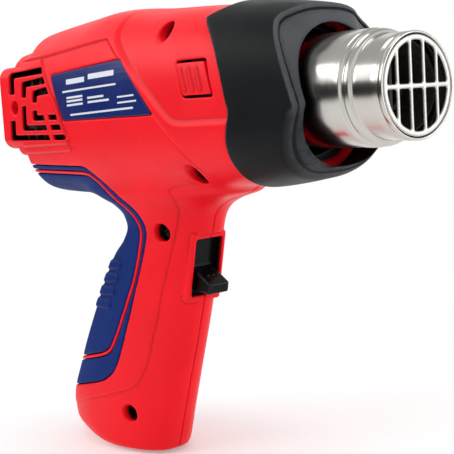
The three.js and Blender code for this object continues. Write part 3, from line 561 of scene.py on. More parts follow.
def casing(grid, side):
    """The whole casing's skin: barrel, vent block, collar and handle."""
    out = np.full(grid.shape(), CLIP, np.float32)
    span, part = grid.window((-260, -60, -52), (-20, 60, 60))
    body = barrel_form(part, 0, side[span[0], :, span[2]])
    dome = smooth(part.z, *DOME_HEIGHTS)
    rear = BARREL_REAR - part.x
    body = mixed(dome, common(body, rear, REAR_ROUND), common(body, rear, DOME_ROUND))
    body = common(body, part.x - BARREL_FRONT, FRONT_ROUND)
    for (start, end), section in ((VENT_COLLAR, COLLAR_SECTION), (VENT_BLOCK, BLOCK_SECTION)):
        block = outline_distance(part.y, part.z, softened(section, BLOCK_ROUND))
        block = common(block, np.maximum(start - part.x, part.x - end), BLOCK_ROUND)
        body = union(body, block, 0.5)
    out[span] = np.clip(body, -CLIP, CLIP)
    span, part = grid.window((-230, -60, -170), (-70, 60, -18))
    grip = handle_form(part, 0, side[span[0], :, span[2]])
    grip = common(common(grip, FOOT - part.z, FOOT_ROUND), part.z - HANDLE_TOP)
    out[span] = union(out[span], np.clip(grip, -CLIP, CLIP), HANDLE_FILLET)
    return out


def guard_region(grid, grow):
    """Everything in front of the guard's rear edge."""
    line = softened(GUARD_REAR, 5, closed=False)
    return outline_distance(grid.x, grid.z, line + [(300, -300), (300, 300)]) - grow


def switch_axes(grid):
    """Out, across and up in the switch's own plane."""
    dx, dz = grid.x - SWITCH_CENTRE[0], grid.z - SWITCH_CENTRE[2]
    c, s = math.cos(SWITCH_LEAN), math.sin(SWITCH_LEAN)
    return dx * c - dz * s, grid.y + 0 * dx, dx * s + dz * c


def leaning_box(axes, low, high, radius=0.5):
    """A rounded block in axes of its own."""
    gaps = [np.abs(axis - (a + b) / 2) - ((b - a) / 2 - radius) for axis, a, b in zip(axes, low, high)]
    outside = sum(np.maximum(gap, 0) ** 2 for gap in gaps)
    return np.sqrt(outside) + np.minimum(np.maximum(np.maximum(gaps[0], gaps[1]), gaps[2]), 0) - radius


def round_bar(grid, x, z, radius):
    """An endless bar across Y."""
    return np.sqrt((grid.x - x) ** 2 + (grid.z - z) ** 2) - radius


SLOT_MIDDLE = 1.2
SLOT_HEIGHT = 2.4
SLOTS = (  # rear edge at the middle height, half reach, and the bridge across the upright
    (-229.7, 15.8, (-5.3, 7.1)), (-217.7, 11.3, (1.3, 5.3)), (-205.8, 6.8, (-1.0, 2.7)),
)
SLOT_UPRIGHT = 5.1
SLOT_LEAN = 0.09
SLOT_RISE = 0.07
SLOT_SINK = 0.01
SLOT_FRONT = (-184.8, -0.7)
SLOT_RIB = [(-193.5, 0), (-188.2, -16.0)]
SLOT_RIB_HALF = 1.8
SLOT_PAST = 20.0
BRIDGE_PAST = 2.0


def vent_slots(x, z):
    """Three nested slots in the rear block, open towards the front and crossed by a slanting rib."""
    best = np.full(np.broadcast(x, z).shape, CLIP, np.float32)
    for rear, reach, (low, high) in SLOTS:
        outlines = []
        for step_in in (0, 1):
            back = rear + step_in * SLOT_UPRIGHT
            tall = reach - step_in * SLOT_HEIGHT
            outline = []
            for way, rise in ((1, SLOT_RISE), (-1, SLOT_SINK)):
                height = SLOT_MIDDLE + way * tall
                tip = SLOT_FRONT[0] + SLOT_FRONT[1] * height
                ends = [(tip + SLOT_PAST * step_in, height + rise * SLOT_PAST),
                        (back + way * tall * SLOT_LEAN, height)]
                outline += ends if way > 0 else ends[::-1]
            outlines.append(outline_distance(x, z, softened(outline, 1.6 - 0.6 * step_in)))
        slot = np.maximum(outlines[0], -outlines[1])
        bridge = np.maximum(np.maximum(low - z, z - high), x - rear - SLOT_UPRIGHT - BRIDGE_PAST)
        best = np.minimum(best, minus(slot, bridge, 0.5))
    rib = line_distance(x, z, SLOT_RIB) - SLOT_RIB_HALF
    return minus(best, rib, 0.4)


def grip_regions(grid, gap):
    """Side outlines of the pad and of the border round it, each grown by a gap."""
    pad = outline_distance(grid.x, grid.z, softened(PAD, 6))
    border = outline_distance(grid.x, grid.z, softened(BORDER, 4.5))
    return pad - gap, np.maximum(border - gap, STRIPE - gap - pad)


def casing_body(grid, outer, edge_round):
    """The closed casing, cut back to the guard's seat, with the spigot that the guard is pushed over."""
    body = minus(outer, guard_region(grid, SEAT_GAP), edge_round)
    span, part = grid.window((-100, -60, -45), (-20, 60, 45))
    spigot = common(barrel_form(part, -SPIGOT_INSET), part.x - SPIGOT_FRONT, 0.6)
    body[span] = union(body[span], spigot)
    return body


def with_switch_frame(body, outer, axes):
    """The body with the flat, raised frame round the switch's window."""
    wide, low, top = WINDOW[0] + RIM, -WINDOW[1] - RIM_LOW, WINDOW[1] + RIM_TOP
    body = minus(body, leaning_box(axes, (0, -wide, low), (FRAME_REACH, wide, top)), 0.3)
    block = leaning_box(axes, (-FRAME_REACH, -wide, low), (0, wide, top), 1.3)
    return union(body, np.where(outer > -WALL, block, CLIP), 0.5)


def hollowed(grid, body, outer):
    """The body with its inside taken out, its screw posts and the ribs that hold the nozzle."""
    hollow = outer + WALL + (SPIGOT_INSET + SPIGOT_WALL - WALL) * smooth(grid.x, *SPIGOT_BLEND)
    hollow = common(hollow, grid.x - (SPIGOT_FRONT - SPIGOT_WALL))
    bore = np.maximum(axis_distance(grid) - NOZZLE_BORE, BORE_REAR - grid.x)
    body = minus(body, np.minimum(hollow, bore), 0.6)
    for x, z, recess in SCREWS.values():
        span, part = grid.window((x - 8, -60, z - 8), (x + 8, 60, z + 8))
        post = np.maximum(round_bar(part, x, z, recess + POST_WALL), outer[span] + INNER_INSET)
        body[span] = union(body[span], post, 0.6)
    half = WEB_THICKNESS / 2
    for start, radius in WEBS:
        span, part = grid.window((start - 1, -60, -45), (start + WEB_THICKNESS + 1, 60, 45))
        web = np.maximum(np.abs(part.x - start - half) - half, outer[span] + INNER_INSET)
        web = np.maximum(web, np.maximum(radius - axis_distance(part), np.abs(part.z) - WEB_REACH))
        body[span] = union(body[span], web, 0.6)
    return body


def opened(grid, body, outer, axes, edge_round):
    """The body with its switch window, air slots, grip pocket, cord inlet and tab slot."""
    for low, high, radius in SWITCH_CUTS:
        body = minus(body, leaning_box(axes, low, high, radius), 0.5)
    body = minus(body, vent_slots(grid.x, grid.z), edge_round * 0.6)
    pad, border = grip_regions(grid, GRIP_GAP)
    body = minus(body, np.maximum(np.minimum(pad, border), -(outer + GRIP_DEPTH + GRIP_GAP)), 0.35)
    inlet = np.sqrt((grid.x - INLET_X) ** 2 + grid.y ** 2) - INLET_RADIUS
    body = minus(body, np.maximum(inlet, grid.z - FOOT - INLET_DEPTH), 0.6)
    tab = outline_distance(grid.x, grid.z, softened(TAB_SLOT, 1.6))
    return minus(body, np.maximum(tab, TAB_INSIDE - grid.y), 0.4)


def housing_fields(grid, edge_round):
    """The right and left halves where Y is over 0, and the solid body that their painted shade is measured
    from.
    """
    outer = casing(grid, raise_map(grid))
    axes = switch_axes(grid)
    body = with_switch_frame(casing_body(grid, outer, edge_round), outer, axes)
    # The solid that the painted shade inside is measured from: the body with the nozzle's mouth filled.
    solid = np.minimum(body, np.maximum(axis_distance(grid) - MOUTH_SHADE, MOUTH_REAR - grid.x))
    body = opened(grid, hollowed(grid, body, outer), outer, axes, edge_round)
    gap = PARTING_TOUCH + (PARTING_GAP - PARTING_TOUCH) * smooth(outer, *PARTING_DEPTHS)
    left = common(body, gap - grid.y, edge_round * 0.5)
    right = left.copy()
    for x, z, recess in SCREWS.values():
        span, part = grid.window((x - 8, -2, z - 8), (x + 8, 60, z + 8))
        hole = round_bar(part, x, z, recess)
        right[span] = minus(right[span], np.maximum(hole, SCREW_SEAT - part.y), 1.0)
        solid[span] = minus(solid[span], np.maximum(hole, -outer[span] - HOLE_UNSHADED))
        shank = np.maximum(round_bar(part, x, z, SHANK_HOLE[0]), part.y - SHANK_HOLE[1])
        for half in (right, left):
            half[span] = minus(half[span], shank, 0.3)
    label = outline_distance(grid.x, grid.z, softened(LABEL, 1.2)) - GRIP_GAP
    right = minus(right, np.maximum(label, -(outer + PLATE_DEPTH)), 0.3)
    return right, left, solid


# Forms of the other pieces. The opening has its half width, its reach up and its reach down.
OPENING = (22.0, 23.7, 25.9)
OPENING_POWERS = (2.0, 2.6)
CORNER_HEIGHTS = (-7.0, -3.5)
LEAST_SHARE = 0.3
GUARD_EDGE = [  # height and place of the guard's outer front edge
    (-60, -43), (-30, -41), (-27.2, -39.6), (-23.2, -38.6), (-17.8, -36.6), (-11.3, -33.8), (-4.5, -31),
    (3, -33.2), (9, -35.2), (15.5, -38.2), (21.2, -41.5), (24.5, -43.4), (26.2, -43.2), (28, -41.2),
    (30, -40), (60, -40),
]
GUARD_MOUTH = [  # height and place of the edge of its opening
    (-60, -31.6), (-26, -31.8), (-22, -32.5), (-16, -32.6), (-10, -31.5), (-4, -29.2), (0, -30.6),
    (5, -32.3), (10, -34), (15, -35.7), (20, -36.8), (23.7, -37.3), (60, -37.3),
]
BAND = 1.4
BAND_RISE = 0.2
BAND_GROOVE = (1.95, 0.5, 1.3)  # depth under the skin, half width and drop
LOW_GROOVE = 0.3
FACE_START = 2.4
FACE_SET = 1.2
FACE_SECTION = -38.0
FACE_SLOPE = 0.75


def edge_place(line, z):
    """The place of an edge over Z, with its corners a little softened."""
    line = np.array(softened(line, 0.8, closed=False))
    return np.interp(z, line[:, 0], line[:, 1]).astype(np.float32)


def opening_share(grid):
    """How far out each point is as a share of the opening's reach, and its distance from the opening."""
    low = grid.z < 0
    power = np.where(low, OPENING_POWERS[1], OPENING_POWERS[0])
    tall = np.where(low, OPENING[2], OPENING[1])
    across, up = (np.abs(grid.y) / OPENING[0]) ** power, (np.abs(grid.z) / tall) ** power
    return (across + up + 1e-6) ** (1 / power), oval(across, up, power, OPENING[0], tall)


def guard_field(grid):
    """The guard, a sleeve round the barrel's front, and the block that its painted shade is measured from.

    Its face is banded and grooved above the corner, and rolls into a lip below it.
    """
    form = barrel_form(grid, GUARD_PROUD)
    half, tall = (through(BARREL, column, np.array(FACE_SECTION)) + GUARD_PROUD for column in (1, 2))
    across, up = (np.abs(grid.y) / half) ** SECTION_POWER, (np.abs(grid.z) / tall) ** SECTION_POWER
    height = grid.z / np.maximum((across + up) ** (1 / SECTION_POWER), LEAST_SHARE)
    share, hole = opening_share(grid)
    edge = edge_place(GUARD_EDGE, height)
    mouth = edge_place(GUARD_MOUTH, grid.z / np.maximum(share, LEAST_SHARE))
    high = smooth(height, *CORNER_HEIGHTS)
    depth = -form
    inward = np.maximum(depth - FACE_START, 0)
    along = inward / (inward + np.maximum(hole, 0) + 1e-3)
    along = mixed(high, np.sin(along * math.pi / 2), along)
    plain = edge + np.clip(depth, 0, BAND) * FACE_SET / BAND + (mouth - edge - FACE_SET) * along
    place, width, drop = BAND_GROOVE
    groove = drop * mixed(high, LOW_GROOVE, 1) * np.exp(-((depth - place) / width) ** 2)
    band = BAND_RISE * high * smooth(-depth, -BAND, -BAND + 0.3)
    face = (grid.x - plain + groove + band) * FACE_SLOPE
    block = common(mixed(high, common(form, face, 3.2), common(form, face, 0.4)), guard_region(grid, 0), 0.8)
    behind = (grid.x - plain + GUARD_WALL) * FACE_SLOPE
    body = minus(block, np.maximum(barrel_form(grid, GUARD_PROUD - GUARD_WALL), behind), 0.5)
    return mixed(high, minus(body, hole, 1.6), minus(body, hole, 0.7)), block


GRIP_RIBS = [((-200, -74.3), (-157.6, -69.6)), ((-205, -80.5), (-160.0, -75.6)),
             ((-208, -86.5), (-163.2, -81.7)), ((-212, -92.2), (-167.0, -88.0))]
RIB_HALF = 2.15
RIB_RAISE = 0.8
RIB_FADE = (0.3, 0.8)


def grip_fields(grid):
    """The soft pad with its four ribs round the back, and the border round it, where Y is over 0."""
    outer = casing(grid, 0 * grid.x + 0 * grid.z)
    pad, border = grip_regions(grid, 0)
    raised = np.zeros(pad.shape, np.float32)
    for start, end in GRIP_RIBS:
        reach = line_distance(grid.x, grid.z, [start, end])
        raised = np.maximum(raised, smooth(-reach, -RIB_HALF - RIB_FADE[0], -RIB_HALF + RIB_FADE[1]))
    fields = []
    for region, top in ((pad, outer - RIB_RAISE * raised), (border, outer)):
        body = np.maximum(region, -(outer + GRIP_DEPTH))
        body = common(body, top, 0.9)
        fields.append(common(body, PARTING_GAP - grid.y, 0.3))
    return fields


GRILLE_RADIUS = 16.5
GRILLE_RIM = 1.9
GRILLE_DEPTH = 1.2
GRILLE_BARS = (-9.6, -3.2, 3.2, 9.6)


def grille_field(grid, bar, cross_bar):
    """The outlet's disc: a rim, upright bars and one cross bar, all with eased edges."""
    radius = axis_distance(grid)
    windows = radius - (GRILLE_RADIUS - GRILLE_RIM)
    for place in GRILLE_BARS:
        windows = minus(windows, np.abs(grid.y - place) - bar / 2, 0.9)
    windows = minus(windows, np.abs(grid.z) - cross_bar / 2, 0.9)
    disc = np.maximum(radius - GRILLE_RADIUS, -windows)
    return common(disc, np.abs(grid.x + GRILLE_DEPTH / 2) - GRILLE_DEPTH / 2, 0.7)


KNOB = [(-5.3, -11.4), (8.8, -8.9), (8.8, -4.5), (-5.3, -0.4)]
KNOB_HALF = 5.2
DENT_PLACE = (3.6, 1.5, -2.9)
DENT_RADIUS = 0.7
SLIDER_BLOCKS = (  # corners, rounding and fillet of the knob's seat, the shutter and the stem behind it
    ((-5.3, -5.8, -11.4), (-3.7, 5.8, 0.1), 0.2, 0.4),
    ((-5.8, -7.4, -11.8), (-4.2, 7.4, 13.8), 0.3, 0.3),
    ((-10.2, -2, -8.8), (-5.6, 2, -3.8), 0.3, 0),
)


def slider_field(grid):
    """The switch's knob, a wedge with two small dents on its slope, on the shutter that slides with it."""
    axes = out, across, up = switch_axes(grid)
    body = common(outline_distance(out, up, softened(KNOB, 0.8)), np.abs(across) - KNOB_HALF, 0.9)
    for low, high, radius, fillet in SLIDER_BLOCKS:
        body = union(body, leaning_box(axes, low, high, radius), fillet)
    place, aside, height = DENT_PLACE
    for side in (-aside, aside):
        dent = np.sqrt((out - place) ** 2 + (across - side) ** 2 + (up - height) ** 2) - DENT_RADIUS
        body = minus(body, dent, 0.3)
    return body


SCREW_HEAD = (-11.3, -9.3)
SCREW_ENDS = (-9.6, 10.0)
SCREW_RADIUS = 1.5
HEAD_GAP = 0.6
CROSS_HALF = 0.45
CROSS_SHARE = 0.55
CROSS_DEPTH = 1.3
CROSS_TAPER = 0.25
THREAD_PITCH = 1.25
THREAD_DEPTH = 0.3


def screw_field(grid, x, z, recess):
    """A pan-head screw with a cross recess and a thread, its head towards -Y."""
    dx, dz = grid.x - x, grid.z - z
    radius = np.sqrt(dx ** 2 + dz ** 2)
    (face, back), (start, end) = SCREW_HEAD, SCREW_ENDS
    head_radius = recess - HEAD_GAP
    head = common(radius - head_radius, np.abs(grid.y - (face + back) / 2) - (back - face) / 2, 1.1)
    arm = head_radius * CROSS_SHARE
    arms = [np.maximum(np.abs(a) - CROSS_HALF, np.abs(b) - arm) for a, b in ((dx, dz), (dz, dx))]
    cross = np.minimum(*arms) + CROSS_TAPER * (grid.y - face)
    head = minus(head, np.maximum(grid.y - face - CROSS_DEPTH, cross), 0.2)
    turn = np.arctan2(dz, dx) / (2 * math.pi) - grid.y / THREAD_PITCH
    thread = THREAD_DEPTH * np.abs(2 * (turn - np.floor(turn)) - 1)
    shank = common(radius - SCREW_RADIUS + thread, np.maximum(grid.y - end, start - grid.y), 0.4)
    return union(head, shank)


def label_field(grid):
    """The rating plate: a thin sheet let into the label's recess."""
    outer = barrel_form(grid)
    edge = outline_distance(grid.x, grid.z, softened(LABEL, 1.6))
    return common(np.maximum(edge, -(outer + PLATE_SHEET)), outer - PLATE_SINK, 0.25)


TAB_DRESSED = [(-91.4, 13.4), (-75, 13.4), (-71, 1.4), (-87.4, 1.4)]
TAB_RIBS = [((-88.4, 11.2), (-85.8, 3.6)), ((-83.6, 11.0), (-81.1, 3.6)), ((-79.0, 11.0), (-76.7, 3.6))]
TAB_RIB_FADE = (-1.0, -0.2)
TAB_RIB_RAISE = 0.55


def tab_field(grid):
    """A release tab with three slanting ribs, where Y is over 0."""
    outer = barrel_form(grid)
    edge = outline_distance(grid.x, grid.z, softened(TAB_DRESSED, 1.0))
    raised = np.zeros(edge.shape, np.float32)
    for start, end in TAB_RIBS:
        reach = line_distance(grid.x, grid.z, [start, end])
        raised = np.maximum(raised, smooth(-reach, *TAB_RIB_FADE))
    return common(np.maximum(edge, -(outer + TAB_DEPTH)), outer - TAB_RIB_RAISE * raised, 0.45)


def turned(name, profile, axis="x", centre=(0, 0), sides=192):
    """A piece turned about an axis from a closed outline of (place, radius) points."""
    profile = np.array(profile)
    angle = 2 * math.pi * np.arange(sides) / sides
    place = np.repeat(profile[:, 0], sides)
    across = np.outer(profile[:, 1], np.cos(angle)).ravel()
    up = np.outer(profile[:, 1], np.sin(angle)).ravel()
    if axis == "x":
        points = np.stack([place, across + centre[0], up + centre[1]], 1)
    else:
        points = np.stack([across + centre[0], up + centre[1], place], 1)
    count = len(profile)
    ring = np.arange(count * sides).reshape(count, sides)
    ahead, beside = np.roll(ring, -1, 0), np.roll(ring, -1, 1)
    faces = np.stack([ring, beside, np.roll(ahead, -1, 1), ahead], 2).reshape(-1, 4)
    area = (profile[:, 0] * np.roll(profile[:, 1], -1) - np.roll(profile[:, 0], -1) * profile[:, 1]).sum()
    if area > 0:
        faces = faces[:, ::-1]
    return placed(mesh_of(name, points, faces))


def nozzle_profile():
    """The tube's outline: flange, rear tube, rolled bead, front tube and rolled lip, then the bore."""
    bead = [(-14.2 + 1.7 * math.sin(t), 17.9 + 1.7 * math.cos(t)) for t in np.linspace(-1.0, 1.4, 12)]
    outer = [(-116, 25), (-114.4, 25), (-114.4, 20.3), (-114, NOZZLE_REAR_RADIUS)]
    outer += [(x, NOZZLE_REAR_RADIUS) for x in np.linspace(-110, -20, 8)]
    outer += [(-17.5, 20.0), (-17.0, 19.9), (-16.7, 19.5), (-16.3, 18.8), (-16.0, 18.65)] + bead
    outer += [(-12.35, 17.85), (-12.0, 17.72), (-11.0, 17.7), (-8, 17.7), (-5, 17.7)]
    outer += [(-2.9, 17.7), (-2.6, 17.5), (-2.2, 17.46), (-1.8, 17.5), (-1.5, 17.7)]
    lip = [(-0.55 + 0.55 * math.sin(t), 17.25 + 0.5 * math.cos(t))
           for t in np.linspace(-0.5, math.pi / 2 + 0.5, 9)]
    inner = [(-0.5, NOZZLE_RADIUS - NOZZLE_WALL), (-12, 16.8), (-14.5, 17.0), (-19, 19.1), (-116, 19.1)]
    return outer + lip + inner


def swept(name, path, radius, sides=10):
    """A round wire along a path of points."""
    along = np.gradient(path, axis=0)
    along /= np.linalg.norm(along, axis=1, keepdims=True)
    out = path * np.array((0, 1, 1))
    out /= np.linalg.norm(out, axis=1, keepdims=True)
    side = np.cross(along, out)
    angle = 2 * math.pi * np.arange(sides) / sides
    points = (path[:, None] + radius * (np.cos(angle)[None, :, None] * out[:, None]
                                        + np.sin(angle)[None, :, None] * side[:, None])).reshape(-1, 3)
    ring = np.arange(len(path) * sides).reshape(len(path), sides)
    beside = np.roll(ring, -1, 1)
    faces = np.stack([ring[:-1], ring[1:], beside[1:], beside[:-1]], 2).reshape(-1, 4)
    ends = []
    for row, turn in ((ring[0], 1), (ring[-1], -1)):
        middle = sides // 2
        for i in range(middle - 1):
            quad = [row[i], row[i + 1], row[sides - 2 - i], row[sides - 1 - i]]
            ends.append(quad[::turn])
    return placed(mesh_of(name, points, np.concatenate([faces, np.array(ends)])))


# Finishes
def group_of(name, inputs, outputs):
    """A shader node group with its sockets, and its input and output nodes."""
    tree = bpy.data.node_groups.new(name, "ShaderNodeTree")
    for label, kind, value in inputs:
        tree.interface.new_socket(label, in_out="INPUT", socket_type=kind).default_value = value
    for label, kind in outputs:
        tree.interface.new_socket(label, in_out="OUTPUT", socket_type=kind)
    return tree, tree.nodes.new("NodeGroupInput"), tree.nodes.new("NodeGroupOutput")


def node(tree, kind, values=None, **settings):
    """A node with its settings, its plain input values and its links."""
    new = tree.nodes.new(kind)
    for key, value in settings.items():
        setattr(new, key, value)
    for key, value in (values or {}).items():
        if isinstance(value, bpy.types.NodeSocket):
            tree.links.new(value, new.inputs[key])
        else:
            new.inputs[key].default_value = value
    return new


def reckon(tree, operation, a, b=0.0, c=0.0):
    """The result of one sum."""
    return node(tree, "ShaderNodeMath", {0: a, 1: b, 2: c}, operation=operation).outputs[0]


def ranged(tree, value, low, high, start=0.0, end=1.0):
    """A value carried from one range to another and held there."""
    return node(tree, "ShaderNodeMapRange", {"Value": value, "From Min": low, "From Max": high,
                                             "To Min": start, "To Max": end}).outputs[0]


def noise(tree, place, scale, detail, roughness=0.5):
    """The value of a noise over the places."""
    return node(tree, "ShaderNodeTexNoise", {"Vector": place, "Scale": scale, "Detail": detail,
                                             "Roughness": roughness}).outputs["Fac"]


def object_place(tree):
    """Each point's place in the object's own axes."""
    return node(tree, "ShaderNodeTexCoord").outputs["Object"]


def moulded_grain():
    """Grain of moulded plastic: slow clouds of tone, a fine pebbled height and patches of polish."""
    tree, given, out = group_of(
        "moulded grain",
        [("Cloud Scale", "NodeSocketFloat", 30.0), ("Grain Scale", "NodeSocketFloat", 2200.0)],
        [("Tone", "NodeSocketFloat"), ("Height", "NodeSocketFloat"), ("Polish", "NodeSocketFloat")])
    place = object_place(tree)
    cloud = noise(tree, place, given.outputs["Cloud Scale"], 3.0, 0.55)
    grain = noise(tree, place, given.outputs["Grain Scale"], 2.0, 0.6)
    wipe = node(tree, "ShaderNodeMapping",
                {"Vector": place, "Scale": (1.0, 2.2, 0.5), "Rotation": (0.3, 0.6, 0)}).outputs[0]
    patch = noise(tree, wipe, 55.0, 5.0, 0.62)
    tree.links.new(ranged(tree, cloud, 0.3, 0.7), out.inputs["Tone"])
    tree.links.new(grain, out.inputs["Height"])
    tree.links.new(ranged(tree, patch, 0.35, 0.68), out.inputs["Polish"])
    return tree


def edge_light_and_shade():
    """Lighter outer edges, partly rub wear and partly painted highlight, broken up by a fine noise, and
    painted shade in corners: both from the surface's own edge value.
    """
    tree, given, out = group_of(
        "edge light and shade", [("Start", "NodeSocketFloat", 0.15), ("End", "NodeSocketFloat", 0.8)],
        [("Mask", "NodeSocketFloat"), ("Corner", "NodeSocketFloat")])
    edge = node(tree, "ShaderNodeAttribute", attribute_name="edge").outputs["Fac"]
    fleck = noise(tree, object_place(tree), 420.0, 4.0)
    edge_tone_share = node(tree, "ShaderNodeMapRange", {"Value": edge, "From Min": given.outputs["Start"],
                                               "From Max": given.outputs["End"]}).outputs[0]
    tree.links.new(reckon(tree, "MULTIPLY", edge_tone_share, ranged(tree, fleck, 0.3, 0.6)), out.inputs["Mask"])
    tree.links.new(ranged(tree, edge, -0.05, -0.5), out.inputs["Corner"])
    return tree


def brushed_lines():
    """Fine lines of drawn or brushed metal, stretched by a scale of their own."""
    tree, given, out = group_of("brushed lines", [("Stretch", "NodeSocketVector", (1.0, 1.0, 1.0))],
                                [("Tone", "NodeSocketFloat"), ("Height", "NodeSocketFloat")])
    place = object_place(tree)
    drawn = node(tree, "ShaderNodeMapping", {"Vector": place, "Scale": given.outputs["Stretch"]}).outputs[0]
    lines = noise(tree, drawn, 60.0, 6.0, 0.7)
    smear = noise(tree, place, 45.0, 3.0)
    mean = reckon(tree, "MULTIPLY_ADD", smear, 0.5, reckon(tree, "MULTIPLY", lines, 0.5))
    tree.links.new(ranged(tree, mean, 0.35, 0.65), out.inputs["Tone"])
    tree.links.new(lines, out.inputs["Height"])
    return tree


def tinted(colour, factor):
    """A colour made lighter or darker, with its alpha."""
    return tuple(min(c * factor, 1.0) for c in colour[:3]) + (1.0,)


def blend_colours(tree, share, first, second):
    """One colour turning into another by a share."""
    return node(tree, "ShaderNodeMix", {"Factor": share, 6: first, 7: second}, data_type="RGBA").outputs[2]


def new_finish(name, metallic=0.0, **plain):
    """A material with one shader, its plain values set, and its tree."""
    finish = bpy.data.materials.new(name)
    finish.use_nodes = True
    tree = finish.node_tree
    shader = tree.nodes["Principled BSDF"]
    shader.inputs["Metallic"].default_value = metallic
    for key, value in plain.items():
        shader.inputs[key.replace("_", " ")].default_value = value
    return finish, tree, shader


def painted(tree, shader, tone, polish, rough, height, strength, distance):
    """Links a finish's colour, its roughness between two values and its bump, given in millimetres."""
    tree.links.new(tone, shader.inputs["Base Color"])
    tree.links.new(ranged(tree, polish, 0, 1, *rough), shader.inputs["Roughness"])
    bump = node(tree, "ShaderNodeBump", {"Height": height, "Strength": strength, "Distance": distance * MM})
    tree.links.new(bump.outputs[0], shader.inputs["Normal"])


# Painted shade: a near-black colour painted deep inside the housing and the guard, and the depths under their
# solid's skin over which it comes in.
PAINTED_SHADE = (0.006, 0.004, 0.004, 1)
PAINTED_SHADE_DEPTHS = (0.5, 1.5)
# Painted light on faces that look towards +X: the heights over which it comes in, the turn it needs and its
# share low down.
FACE_FADE = (-8.0, -4.0)
FACE_TURN = (0.3, 0.55)
LOW_FACE = 0.25
# Shares of the lighter outer edges, rub wear and painted highlight, and of the painted shade in corners.
WEAR_AND_HIGHLIGHT_SHARE = 0.6
CORNER_SHARE = 0.7


def plastic(name, colour, groups, rough=(0.34, 0.46), grain=0.02, cloud=0.06, scale=2200.0, wear_and_highlight=1.25,
            corner_shade=0.75, shaded_inside=False, front=None, **plain):
    """Moulded plastic: clouded colour, outer edges lighter as rub wear and painted highlight, corners darker
    as painted shade, patchy polish and a fine grain.

    Front is a lighter colour painted on faces that look towards +X, as the light they catch; with the inside
    flag set, the colour turns near black deep inside the piece, as painted shade.
    """
    finish, tree, shader = new_finish(name, **plain)
    given = node(tree, "ShaderNodeGroup", node_tree=groups["grain"])
    given.inputs["Grain Scale"].default_value = scale
    edges = node(tree, "ShaderNodeGroup", node_tree=groups["edges"])
    tone = blend_colours(tree, given.outputs["Tone"], tinted(colour, 1 - cloud), tinted(colour, 1 + cloud))
    # Painted light: faces that look towards +X take the lighter front colour, less of it low down, as the
    # light they catch.
    if front:
        normal = node(tree, "ShaderNodeNewGeometry").outputs["Normal"]
        facing = node(tree, "ShaderNodeSeparateXYZ", {0: normal})
        place = node(tree, "ShaderNodeSeparateXYZ", {0: object_place(tree)})
        upper = ranged(tree, place.outputs["Z"], FACE_FADE[0] * MM, FACE_FADE[1] * MM, LOW_FACE, 1.0)
        face = reckon(tree, "MULTIPLY", ranged(tree, facing.outputs["X"], *FACE_TURN), upper)
        tone = blend_colours(tree, face, tone, front)
    # Outer edges turn lighter, as rub wear and painted highlight, and corners darker, as painted shade.
    for mask, share, factor in (("Mask", WEAR_AND_HIGHLIGHT_SHARE, wear_and_highlight), ("Corner", CORNER_SHARE, corner_shade)):
        edge_tone_share = reckon(tree, "MULTIPLY", edges.outputs[mask], share)
        tone = blend_colours(tree, edge_tone_share, tone, tinted(colour, factor))
    # Painted shade: deep inside the piece the colour turns near black.
    if shaded_inside:
        inside = node(tree, "ShaderNodeAttribute", attribute_name="inside").outputs["Fac"]
        tone = blend_colours(tree, ranged(tree, inside, *PAINTED_SHADE_DEPTHS), tone, PAINTED_SHADE)
    painted(tree, shader, tone, given.outputs["Polish"], rough, given.outputs["Height"], 0.6, grain)
    return finish


def metal(name, colour, groups, stretch, rough=(0.2, 0.3), lines=0.004, **plain):
    """Drawn or brushed metal with uneven tone and fine lines."""
    finish, tree, shader = new_finish(name, 1.0, **plain)
    given = node(tree, "ShaderNodeGroup", {"Stretch": stretch}, node_tree=groups["lines"])
    edges = node(tree, "ShaderNodeGroup", node_tree=groups["edges"])
    tone = blend_colours(tree, given.outputs["Tone"], tinted(colour, 0.92), tinted(colour, 1.06))
    # Outer edges turn lighter, as rub wear and painted highlight.
    edge_tone_share = reckon(tree, "MULTIPLY", edges.outputs["Mask"], 0.5)
    tone = blend_colours(tree, edge_tone_share, tone, tinted(colour, 1.25))
    painted(tree, shader, tone, given.outputs["Tone"], rough, given.outputs["Height"], 0.5, lines)
    return finish


PRINT_BARS = (  # each bar of the plate's print: start, end, height and half thickness, along the plate
    (-172.5, -156.0, 11.2, 1.15), (-153.0, -133.0, 11.9, 1.15), (-176.0, -131.5, 7.2, 0.45),
    (-172.5, -158.0, 1.2, 0.5), (-172.5, -158.0, 2.9, 0.5), (-172.5, -158.0, 4.4, 0.5),
    (-154.0, -137.0, 1.4, 0.5), (-154.0, -141.0, 3.2, 0.5), (-131.0, -119.0, 1.9, 0.4),
    (-131.0, -117.5, -0.4, 0.4), (-170.0, -120.0, -3.0, 0.45),
)
PRINT_RISE = 0.035
PRINT_PIVOT = -150.0
PRINT_EDGES = (0.15, 0.12)


